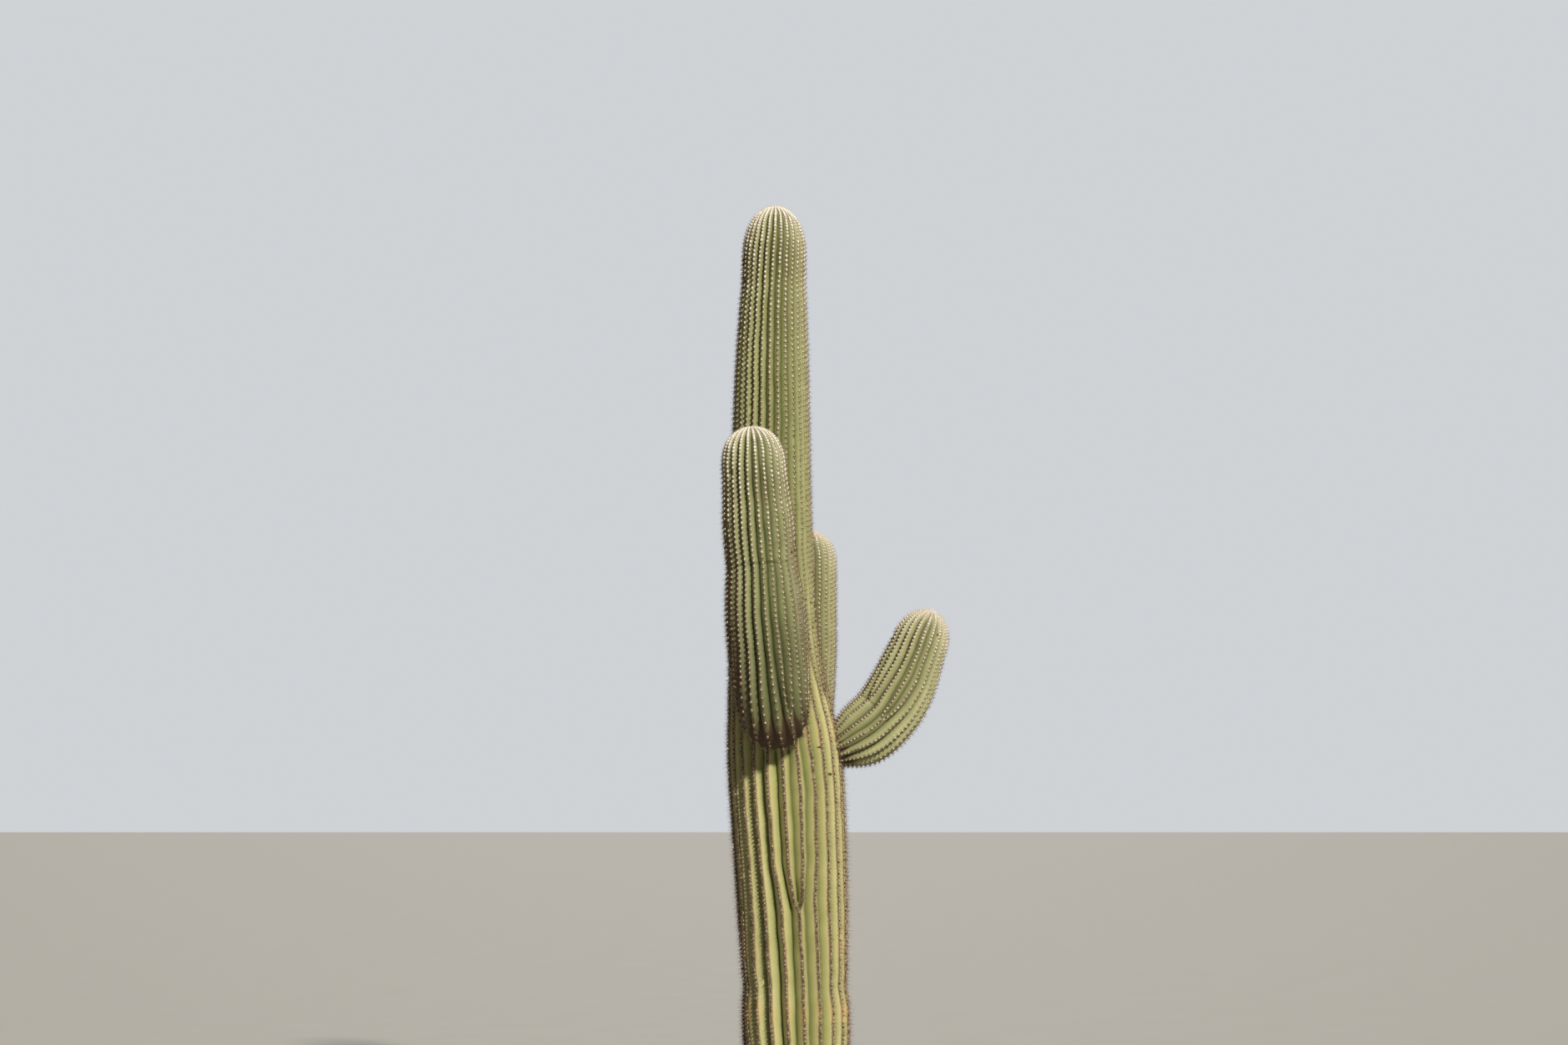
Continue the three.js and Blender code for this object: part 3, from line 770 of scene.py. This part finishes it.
def relief_tree():
    """Presses the furrows in between the ribs, and raises a tubercle under each areole."""
    inputs = {
        "Rib Roundness": ("NodeSocketFloat", 2.0),
        "Furrow Softness": ("NodeSocketFloat", 0.15),
        "Furrow Deepening": ("NodeSocketFloat", 1.4),
        "Tubercle Height": ("NodeSocketFloat", 3 * MM),
        "Unevenness": ("NodeSocketFloat", 1.5 * MM),
        "Unevenness Size": ("NodeSocketFloat", 0.1),
        "Skin": ("NodeSocketMaterial", None),
    }
    tree, given = new_tree("Rib Relief", inputs)
    node = partial(add, tree)

    def profile(place):
        """1 on a crest and 0 in a furrow: a rounded rib, softened towards a wave."""
        bow = node("power", node("absolute", place), given["Rib Roundness"])
        wave = node("multiply_add", node("cosine", node("multiply", place, math.pi)), -0.5, 0.5)
        return node("subtract", 1.0, node("mix", given["Furrow Softness"], bow, wave))

    own, pair = profile(node("named", "across")), profile(node("named", "joined"))
    height = node("mix", node("named", "parted"), pair, own)
    left_open = node("multiply_add", node("named", "bark"), -BARK_FILL, 1.0)
    deepening = node("multiply", left_open, given["Furrow Deepening"])
    depth = node("multiply", node("named", "furrow_depth"), deepening)
    sink = node("multiply", node("subtract", height, 1.0), depth)
    swell = node("multiply_add", node("named", "tubercle"), given["Tubercle Height"], sink)
    scale = node("divide", 1.0, given["Unevenness Size"])
    lumps = node("subtract", node("noise", node("named vector", "straight"), scale), 0.5)
    shift = node("multiply_add", node("multiply", lumps, 2.0), given["Unevenness"], swell)

    # The two end points, where furrows have no depth, stay in place.
    between_ends = node("minimum", 1.0, node("multiply", node("named", "furrow_depth"), 200.0))
    offset = node("vector scale", node("named vector", "outward"), node("multiply", shift, between_ends))
    moved = node("move", given["Geometry"], offset)
    kept = node("store", moved, "rib_height", height, data_type="FLOAT")
    real = node("realize", node("smooth", kept, True))
    return finished_tree(tree, node("paint", real, given["Skin"]))


TONES = ("Old Dark", "Old Pale", "Young Dark", "Young Pale", "Tip")
AREOLE_INPUTS = {
    "From Height": ("NodeSocketFloat", 0.0),
    "To Height": ("NodeSocketFloat", ABOVE_ALL),
    "Seed": ("NodeSocketInt", SEED),
    "Tip Reach": ("NodeSocketFloat", 0.12),
    **{tone: ("NodeSocketMaterial", None) for tone in TONES},
}


def areole_points(tree, given):
    """One point for each areole in the height band, which knows the way out of the skin."""
    node = partial(add, tree)
    kept = node("store", given["Geometry"], "way_out", node("normal"), data_type="FLOAT_VECTOR")
    height = node("height", node("position"))
    above = node("greater_than", height, given["From Height"])
    below = node("less_than", height, given["To Height"])
    wanted = node("multiply", node("multiply", above, below), node("named", "areole"))
    return node("points", kept, node("greater_than", wanted, 0.5))


def random_number(tree, given, low, high, draw):
    """A random number from low to high. Each draw of a tree has its own number."""
    return add(tree, "random", low, high, add(tree, "add", given["Seed"], draw))


def deal_tones(tree, given, geometry):
    """Deals each point the number of a tone by draws 1 to 3: old or young, dark or pale, or the tip's."""
    node = partial(add, tree)
    # A burn and its painted shade make pads and spines look older
    worn_and_shaded = node("multiply_add", node("named", "burn"), BURN_AND_SHADE_AGES, node("named", "age"))
    doubt = node("multiply_add", random_number(tree, given, -1.0, 1.0, 1), AGE_DOUBT, worn_and_shaded)
    young = node("less_than", doubt, 0.5)
    pale = node("greater_than", random_number(tree, given, 0.0, 1.0, 2), 0.5)
    stem_tone = node("multiply_add", young, 2.0, pale)
    reach = node("multiply", given["Tip Reach"], random_number(tree, given, *TIP_REACHES, 3))
    near_tip = node("less_than", node("named", "from_tip"), reach)
    tone = node("mix", near_tip, stem_tone, float(TONES.index("Tip")))
    return node("store", geometry, "tone", tone, data_type="FLOAT")


def tone_tree(tree, given, instances):
    """The tree with its instances made real, each in its tone's material."""
    node = partial(add, tree)
    dressed = node("realize", node("smooth", instances, True))
    for number, label in enumerate(TONES):
        picked = node("compare", node("named", "tone"), float(number), 0.1)
        dressed = node("paint", dressed, given[label], picked)
    return finished_tree(tree, dressed)


def pad_tree():
    """A small woolly cushion on each areole."""
    inputs = {
        "Pad Size": ("NodeSocketFloat", 1.0),
        "Pad Slenderness": ("NodeSocketFloat", 1.3),
        "Pad Bulge": ("NodeSocketFloat", 0.4),
    }
    tree, given = new_tree("Areole Pads", {**inputs, **AREOLE_INPUTS})
    node = partial(add, tree)
    points = deal_tones(tree, given, areole_points(tree, given))
    way_out, stem_up = node("named vector", "way_out"), node("named vector", "stem_up")
    turn = node("face", way_out, stem_up, primary_axis="Z", secondary_axis="Y")
    width = node("multiply", node("named", "pad_width"), given["Pad Size"])
    half = node("multiply", node("multiply", width, 0.5), random_number(tree, given, *PAD_SIZES, 4))
    tall, thick = (node("multiply", half, given[f"Pad {side}"]) for side in ("Slenderness", "Bulge"))
    ball = node("ball", 1.0, 1)
    return tone_tree(tree, given, node("instances", points, ball, turn, node("vector", half, tall, thick)))


def spine_tree():
    """A spray of spines on each areole: a few stout central ones, and a ring of radial ones lying flatter."""
    inputs = {
        "Spines": ("NodeSocketInt", 15),
        "Central Spines": ("NodeSocketInt", 4),
        "Central Length": ("NodeSocketFloat", 1.0),
        "Radial Length": ("NodeSocketFloat", 0.75),
        "Thickness": ("NodeSocketFloat", 1.3 * MM),
        "Droop": ("NodeSocketFloat", 0.35),
    }
    tree, given = new_tree("Spine Sprays", {**inputs, **AREOLE_INPUTS})
    node = partial(add, tree)
    spread = node("duplicate", areole_points(tree, given), given["Spines"])
    index = spread.node.outputs["Duplicate Index"]
    central = node("less_than", index, given["Central Spines"])
    points = deal_tones(tree, given, spread)

    turn = node("multiply_add", index, GOLDEN_ANGLE, random_number(tree, given, *SPINE_TWISTS, 4))
    steep = random_number(tree, given, *CENTRAL_LEANS, 5)
    flat = random_number(tree, given, *RADIAL_LEANS, 6)
    lean = node("mix", central, flat, steep)
    flatness = node("sine", lean)
    way_out, stem_up = node("named vector", "way_out"), node("named vector", "stem_up")
    sideways = node("vector cross", stem_up, way_out)
    upright = node("vector cross", way_out, sideways)
    rise = node("multiply", node("cosine", turn), flatness)
    rise = node("subtract", rise, node("multiply", central, given["Droop"]))
    out_part = node("vector scale", way_out, node("cosine", lean))
    up_part = node("vector scale", upright, rise)
    side_part = node("vector scale", sideways, node("multiply", node("sine", turn), flatness))
    rotation = node("aim", node("vector add", node("vector add", out_part, up_part), side_part))

    full_length = node("mix", central, given["Radial Length"], given["Central Length"])
    vary = random_number(tree, given, *SPINE_LENGTHS, 7)
    length = node("multiply", node("multiply", node("named", "spine_reach"), vary), full_length)
    stoutness = node("multiply_add", central, CENTRAL_EXTRA, RADIAL_STOUTNESS)
    thick = node("multiply", stoutness, given["Thickness"])
    # A spine is an open cone with three sides, as wide and as long as 1 before it is scaled.
    cone = node("cone", 3, 0.0, 0.5, 1.0, fill_type="NONE")
    scale = node("vector", thick, thick, length)
    return tone_tree(tree, given, node("instances", points, cone, rotation, scale))


def new_material(name):
    """An empty material, with its tree and its shader."""
    material = bpy.data.materials.new(name)
    material.use_nodes = True
    tree = material.node_tree
    return material, tree, tree.nodes["Principled BSDF"]


# What a skin's mesh holds for its material
SKIN_NUMBERS = (
    "age", "bark", "blush", "burn", "crease", "from_tip", "off_crest", "paleness", "rib_height", "scar",
)


def waxy_skin(name, colours):
    """Living cactus epidermis under a thin coat of wax: satin, mottled, corky along the old crests."""
    material, tree, shader = new_material(name)
    node = partial(add, tree)
    straight = node("skin vector", attribute_name="straight")
    hues = {label: linear(colour) for label, colour in colours.items()}

    def noise(size, detail, stretch=(1, 1, 1)):
        return node("noise", node("stretch", straight, stretch), 1 / size, detail)

    mottle, blotch, grain = noise(MOTTLE_SIZE, 4), noise(BLOTCH_SIZE, 2), noise(GRAIN_SIZE, 3)
    bands = noise(BAND_HEIGHT, 2, (0.15, 0.15, 1))
    wrinkle = noise(WRINKLE_LENGTH, 3, (1, 1, 7))
    mottled, grainy = node("subtract", mottle, 0.5), node("subtract", grain, 0.5)
    held = {name: node("skin number", attribute_name=name) for name in SKIN_NUMBERS}
    age, height, off_crest, from_tip = (held[name] for name in ("age", "rib_height", "off_crest", "from_tip"))

    # The green of young and old skin, paler on the crests and darker in the furrows, partly the skin's own
    # tone and partly painted shade. A ramp with its higher end first falls.
    uneven = node("add", mottled, node("subtract", bands, 0.5))
    lit = node("multiply_add", uneven, 0.6, height)
    young = node("blend", lit, hues["young_furrow"], hues["young_crest"])
    old = node("blend", lit, hues["old_furrow"], hues["old_crest"])
    weathered = node("multiply_add", node("subtract", blotch, 0.5), 0.5, age)
    colour = node("blend", node("ramp", weathered, 0.1, 0.9), young, old)
    colour = node("blend", held["paleness"], colour, hues["bleached"])
    # Negative paleness darkens: older skin, and painted shade on the front arm's lower elbow
    colour = node("blend", node("multiply", held["paleness"], -1.0), colour, hues["dusky_and_shaded"])
    # Painted shade: the bottoms of the furrows are darkened
    furrow_shade_share = node("ramp", height, 0.32, 0.0)
    colour = node("blend", node("multiply", furrow_shade_share, 0.7), colour, hues["painted_furrow_shade"])
    # Brown burns, partly painted shade on the stems' shaded left sides
    burnt_and_shaded = node("multiply", held["burn"], node("multiply_add", mottle, 0.8, 0.55))
    colour = node("blend", burnt_and_shaded, colour, hues["burnt_and_shaded"])

    # Cork and felt along the crests, with ragged edges, and felt over the tip
    ragged = node("multiply_add", grainy, 12 * MM, off_crest)
    corky = node("maximum", node("ramp", age, 0.15, 0.9), 0.3)
    cork_share = node("multiply", node("ramp", ragged, *CORK_REACH), corky)
    cork = node("blend", grain, hues["cork_dark"], hues["cork_pale"])
    colour = node("blend", node("multiply", cork_share, 0.85), colour, cork)
    matted = node("multiply", node("ramp", ragged, *FELT_REACH), node("ramp", from_tip, *FELT_LENGTH))
    felted = node("maximum", node("ramp", from_tip, *CAP_LENGTH), matted)
    colour = node("blend", node("multiply", felted, 0.75), colour, hues["felt"])

    # Sunburnt blushes on the crests, and the dark line of a crease
    blushing = node("multiply", held["blush"], node("ramp", off_crest, *BLUSH_REACH))
    blushing = node("multiply", node("multiply", blushing, mottle), 1.3)
    colour = node("blend", blushing, colour, hues["blush"])
    colour = node("blend", node("multiply", held["crease"], 0.6), colour, hues["crease"])

    # Bark, first in the hollows
    hollow = node("multiply_add", node("subtract", 0.45, height), 0.55, held["bark"])
    bark_share = node("ramp", node("multiply_add", mottled, 0.6, hollow), 0.4, 0.75)
    bark = node("blend", grain, hues["bark_dark"], hues["bark_pale"])
    colour = node("blend", bark_share, colour, bark)

    # Scars: the mesh's own, and a pock in about every second cell
    away = node("cells", straight, 1 / POCK_SPACING)
    rare = node("ramp", node("red", away.node.outputs["Color"]), 0.55, 0.6)
    near = node("ramp", node("multiply_add", grain, 0.05, away), 0.085, 0.05)
    torn = node("ramp", node("multiply_add", grainy, 0.8, held["scar"]), 0.35, 0.65)
    scar = node("maximum", node("multiply", rare, near), torn)
    colour = node("blend", scar, colour, hues["scar"])

    dry = node("maximum", bark_share, node("maximum", cork_share, scar))
    rough = node("multiply_add", dry, 0.25, node("multiply_add", grain, 0.12, 0.46))
    coarse = node("multiply_add", dry, node("multiply", grain, 2.5), wrinkle)
    relief = node("multiply_add", grain, 0.35, coarse)
    bump = node("bump", relief, 1.5 * MM, 0.45)
    feed(shader, {"Base Color": colour, "Roughness": rough, "Normal": bump, "Specular IOR Level": 0.4})
    return material


def plain_fibre(name, hex_colour, roughness, fibre_size):
    """A small dry plant part in one colour. The fibres only break up its gloss."""
    material, tree, shader = new_material(name)
    fibres = add(tree, "noise", add(tree, "object place"), 1 / fibre_size, 2.0)
    rough = add(tree, "multiply_add", fibres, 0.2, roughness - 0.1)
    feed(shader, {"Base Color": linear(hex_colour), "Roughness": rough, "Specular IOR Level": 0.3})
    return material


SHARED_COLOURS = {
    "cork_dark": "#4E3F2E",
    "cork_pale": "#94805F",
    "scar": "#5E3D28",
    "blush": "#CFA66E",
    "crease": "#4C4A2A",
    # painted shade in the bottoms of the furrows
    "painted_furrow_shade": "#3F4622",
    "bleached": "#C4C092",
    "dusky_and_shaded": "#3A3F22",
    "burnt_and_shaded": "#482D1D",
    "felt": "#CFC7AE",
}
TRUNK_COLOURS = {
    "young_furrow": "#777F50",
    "young_crest": "#A6AA75",
    "old_furrow": "#939A60",
    "old_crest": "#BBB680",
    "bark_dark": "#4A3D31",
    "bark_pale": "#94836C",
    **SHARED_COLOURS,
}
ARM_COLOURS = {
    "young_furrow": "#717850",
    "young_crest": "#A0A576",
    "old_furrow": "#727B47",
    "old_crest": "#9FA167",
    "bark_dark": "#2A1D12",
    "bark_pale": "#5A4430",
    **SHARED_COLOURS,
}

# Spine wood: lignified cellulose, bone-dry and hard. Old spines weather to grey brown, young ones are straw.
SPINE_TONES = ("#6A543F", "#BFAC8E", "#5E4333", "#A88D6E", "#DDD3C4")

# Areole felt: matted plant hairs, cream while young and grey brown when weathered.
FELT_TONES = ("#48382C", "#CBB59C", "#DDD7C0", "#F1EDDF", "#F6F2E8")

TREES = {}
MATERIALS = {}


def tone_set(kind, colours, roughness, fibre_size):
    """The five materials that spines or felt are dealt, under the trees' own labels."""
    for label, colour in zip(TONES, colours):
        MATERIALS[kind, label] = plain_fibre(f"{kind}, {label.lower()}", colour, roughness, fibre_size)


def skin_piece(stem, settings, slot, seed):
    """Grows one stem's skin in place of its solids."""
    values = {
        "Rib Roundness": settings.rib_roundness,
        "Furrow Softness": settings.furrow_softness,
        "Furrow Deepening": settings.furrow_deepening,
        "Tubercle Height": settings.tubercle_height,
        "Unevenness": settings.unevenness,
        "Skin": MATERIALS[slot],
    }
    piece = grow(stem.name, Tube(stem, seed).mesh(), TREES["relief"], values)
    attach(piece, "root")
    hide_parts(*stem.stands_for)


# What the skins hold for the trees and the materials, and what no pad or spine needs in the end
WORKING_ATTRIBUTES = (
    "across", "joined", "parted", "off_crest", "furrow_depth", "tubercle", "rib_height",
    "areole", "spine_reach", "pad_width", "from_tip", "way_out", "tone",
    "crease", "scar", "blush", "burn", "age", "bark", "paleness", "straight", "outward", "stem_up",
)


def areole_piece(name, skin, tree, values, kind, low, high, seed):
    """Grows pads or spines on one height band of a skin, as a piece that rides on the plant."""
    shades = {label: MATERIALS[kind, label] for label in TONES}
    band = {"From Height": low, "To Height": high, "Seed": seed}
    bare = skin.data.copy()
    bare.materials.clear()
    piece = grow(name, bare, tree, {**values, **band, **shades})
    for attribute in list(piece.data.attributes):
        if attribute.name in WORKING_ATTRIBUTES:
            piece.data.attributes.remove(attribute)
    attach(piece, "root")


def grow_on_stems(what, values, kind):
    """One piece of pads or spines for each height band of the trunk, and one for each arm."""
    tree, seed = TREES[what], FIRST_SEEDS[what]
    trunk = bpy.data.objects[TRUNK.name]
    for i, (band, low, high) in enumerate(TRUNK_BANDS):
        areole_piece(f"trunk_{band}_{what}", trunk, tree, values, kind, low, high, seed + i)
    for i, arm in enumerate(ARMS):
        name, skin = arm.name.replace("skin", what), bpy.data.objects[arm.name]
        areole_piece(name, skin, tree, values, kind, 0.0, ABOVE_ALL, seed + ARM_SEED_STEP + i)


def plaster_floor(settings):
    """A wide level floor of painted plaster: matt and pale, so that the plant's shadow is all it shows."""
    mesh = bpy.data.meshes.new("floor")
    corners = [(-FLOOR_REACH, -FLOOR_REACH), (FLOOR_REACH, -FLOOR_REACH)]
    corners += [(FLOOR_REACH, FLOOR_REACH), (-FLOOR_REACH, FLOOR_REACH)]
    mesh.from_pydata([(x, y, GROUND) for x, y in corners], [], [(0, 1, 2, 3)])
    floor = bpy.data.objects.new("floor", mesh)
    bpy.context.scene.collection.objects.link(floor)
    material, tree, shader = new_material("Painted plaster")
    grain = add(tree, "noise", add(tree, "object place"), 2.0, 3.0)
    rough = add(tree, "multiply_add", grain, 0.1, 0.85)
    feed(shader, {"Base Color": (*settings.floor_colour, 1), "Roughness": rough})
    mesh.materials.append(material)


def pale_studio(settings):
    """A plain pale backdrop, which lights the plant only faintly."""
    world = bpy.data.worlds.new("Pale studio")
    world.use_nodes = True
    tree = world.node_tree
    fill = tree.nodes["Background"]
    feed(fill, {"Color": linear("#EEF1F5"), "Strength": settings.sky_strength})
    backdrop = add(tree, "background", linear("#E4E8EC"), BACKDROP_STRENGTH)
    shown = add(tree, "mix shader", add(tree, "camera ray"), fill.outputs[0], backdrop)
    feed(tree.nodes["World Output"], {"Surface": shown})
    bpy.context.scene.world = world


def sun_lamp(name, strength, softness, azimuth, colour):
    """One of the two soft lights, which stand equally high."""
    sun = bpy.data.lights.new(name, "SUN")
    sun.energy = strength
    sun.angle = softness
    sun.color = linear(colour)[:3]
    lamp = bpy.data.objects.new(name, sun)
    elevation = bpy.context.scene.saguaro_stage.key_elevation
    lamp.rotation_euler = (math.pi / 2 - elevation, 0, azimuth)
    bpy.context.scene.collection.objects.link(lamp)


def photo_camera():
    """The photograph's own view."""
    lens = bpy.data.cameras.new("camera")
    lens.sensor_width = SENSOR
    lens.lens = SENSOR * FOCAL_PIXELS / PHOTO_WIDTH
    lens.clip_end = CLIP_END
    camera = bpy.data.objects.new("camera", lens)
    pitch = math.atan((HORIZON_ROW - PHOTO_HEIGHT / 2) / FOCAL_PIXELS)
    camera.location = EYE
    camera.rotation_euler = (math.pi / 2 + pitch, 0, 0)
    bpy.context.scene.collection.objects.link(camera)
    bpy.context.scene.camera = camera


class SaguaroSkinSettings(bpy.types.PropertyGroup):
    """The relief of the ribbed skin."""

    rib_roundness: FloatProperty(
        name="Rib Roundness", description="2 is a round rib, 1 a sharp one", default=1.7, min=1, max=4
    )
    furrow_softness: FloatProperty(
        name="Furrow Softness", description="0 is a sharp furrow, 1 an even wave", default=0.1, min=0, max=1
    )
    furrow_deepening: FloatProperty(
        name="Furrow Deepening", description="Depth against the solids' furrows", default=1.28, min=0, max=2
    )
    tubercle_height: FloatProperty(
        name="Tubercle Height", description="Swelling under each areole", default=3 * MM, unit="LENGTH"
    )
    unevenness: FloatProperty(
        name="Unevenness", description="Slow rise and fall of the skin", default=1.5 * MM, unit="LENGTH"
    )


class SaguaroSpineSettings(bpy.types.PropertyGroup):
    """The areoles and the spines that grow from them."""

    spines: IntProperty(name="Spines", description="Spines on each areole", default=26, min=3, max=40)
    central_spines: IntProperty(
        name="Central Spines", description="How many stand out", default=4, min=0, max=8
    )
    thickness: FloatProperty(
        name="Thickness", description="Of a spine at its root", default=1.15 * MM, unit="LENGTH"
    )
    pad_size: FloatProperty(
        name="Pad Size", description="Of an areole's wool", default=1.0, min=0, max=2
    )
    pad_bulge: FloatProperty(
        name="Pad Bulge", description="How far the wool stands out for its width", default=0.6, min=0, max=2
    )


class SaguaroStageSettings(bpy.types.PropertyGroup):
    """The floor and the light."""

    floor_colour: FloatVectorProperty(
        name="Floor Colour", description="Plain and pale", subtype="COLOR", default=linear("#ACA9A2")[:3]
    )
    key_strength: FloatProperty(
        name="Key Strength", description="Of the soft key light", default=3.9
    )
    key_softness: FloatProperty(
        name="Key Softness", description="Width of the key light", default=math.radians(4), subtype="ANGLE"
    )
    key_azimuth: FloatProperty(
        name="Key Azimuth", description="To the viewer's right", default=math.radians(24), subtype="ANGLE"
    )
    key_elevation: FloatProperty(
        name="Key Elevation", description="Above the horizon", default=math.radians(30), subtype="ANGLE"
    )
    back_strength: FloatProperty(
        name="Back Strength", description="Of the wide light from behind", default=1.8
    )
    sky_strength: FloatProperty(
        name="Sky Strength", description="Of the pale light all round", default=0.08
    )


class SAGUARO_OT_trunk_skin(bpy.types.Operator):
    """Grow the ribbed skin of the trunk"""

    bl_idname = "saguaro.trunk_skin"
    bl_label = "Trunk Skin"

    def execute(self, context):
        MATERIALS["trunk_skin"] = waxy_skin("Waxy trunk epidermis", TRUNK_COLOURS)
        TREES["relief"] = relief_tree()
        skin_piece(TRUNK, context.scene.saguaro_skin, "trunk_skin", SEED)
        return {"FINISHED"}


class SAGUARO_OT_arm_skins(bpy.types.Operator):
    """Grow the ribbed skins of the arms"""

    bl_idname = "saguaro.arm_skins"
    bl_label = "Arm Skins"

    def execute(self, context):
        if "relief" not in TREES:
            raise RuntimeError("Grow the trunk's skin first")
        MATERIALS["arm_skin"] = waxy_skin("Waxy arm epidermis", ARM_COLOURS)
        for i, arm in enumerate(ARMS):
            skin_piece(arm, context.scene.saguaro_skin, "arm_skin", SEED + 1 + i)
        return {"FINISHED"}


class SAGUARO_OT_areoles(bpy.types.Operator):
    """Grow the woolly areole pads along the rib crests"""

    bl_idname = "saguaro.areoles"
    bl_label = "Areole Pads"

    def execute(self, context):
        settings = context.scene.saguaro_spines
        TREES["areoles"] = pad_tree()
        tone_set("Areole felt", FELT_TONES, roughness=0.9, fibre_size=1 * MM)
        values = {"Pad Size": settings.pad_size, "Pad Bulge": settings.pad_bulge}
        grow_on_stems("areoles", values, "Areole felt")
        return {"FINISHED"}


class SAGUARO_OT_spines(bpy.types.Operator):
    """Grow the spines from every areole"""

    bl_idname = "saguaro.spines"
    bl_label = "Spines"

    def execute(self, context):
        settings = context.scene.saguaro_spines
        TREES["spines"] = spine_tree()
        tone_set("Spine wood", SPINE_TONES, roughness=0.5, fibre_size=2 * MM)
        values = {
            "Spines": settings.spines,
            "Central Spines": settings.central_spines,
            "Thickness": settings.thickness,
        }
        grow_on_stems("spines", values, "Spine wood")
        return {"FINISHED"}


class SAGUARO_OT_stage(bpy.types.Operator):
    """Set the floor, the light and the camera"""

    bl_idname = "saguaro.stage"
    bl_label = "Stage"

    def execute(self, context):
        settings = context.scene.saguaro_stage
        plaster_floor(settings)
        pale_studio(settings)
        sun_lamp("key", settings.key_strength, settings.key_softness, settings.key_azimuth, "#FFF7EA")
        sun_lamp("back", settings.back_strength, BACK_SOFTNESS, math.pi, "#F3F5F7")
        photo_camera()
        context.scene.view_settings.view_transform = "Standard"
        return {"FINISHED"}


class SAGUARO_PT_panel(bpy.types.Panel):
    """The saguaro's steps and settings"""

    bl_label = "Saguaro"
    bl_idname = "SAGUARO_PT_panel"
    bl_space_type = "VIEW_3D"
    bl_region_type = "UI"
    bl_category = "Saguaro"

    def draw(self, context):
        layout = self.layout
        for operator in OPERATORS:
            layout.operator(operator.bl_idname)
        for group in (context.scene.saguaro_skin, context.scene.saguaro_spines, context.scene.saguaro_stage):
            box = layout.box()
            for name in group.__annotations__:
                box.prop(group, name)


OPERATORS = (
    SAGUARO_OT_trunk_skin,
    SAGUARO_OT_arm_skins,
    SAGUARO_OT_areoles,
    SAGUARO_OT_spines,
    SAGUARO_OT_stage,
)
CLASSES = (SaguaroSkinSettings, SaguaroSpineSettings, SaguaroStageSettings, *OPERATORS, SAGUARO_PT_panel)


def register():
    for cls in CLASSES:
        bpy.utils.register_class(cls)
    bpy.types.Scene.saguaro_skin = PointerProperty(type=SaguaroSkinSettings)
    bpy.types.Scene.saguaro_spines = PointerProperty(type=SaguaroSpineSettings)
    bpy.types.Scene.saguaro_stage = PointerProperty(type=SaguaroStageSettings)


def unregister():
    del bpy.types.Scene.saguaro_skin
    del bpy.types.Scene.saguaro_spines
    del bpy.types.Scene.saguaro_stage
    for cls in reversed(CLASSES):
        bpy.utils.unregister_class(cls)


def main():
    """Grows the plant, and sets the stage."""
    register()
    bpy.ops.saguaro.trunk_skin()
    bpy.ops.saguaro.arm_skins()
    bpy.ops.saguaro.areoles()
    bpy.ops.saguaro.spines()
    bpy.ops.saguaro.stage()


if __name__ == "__main__":
    main()
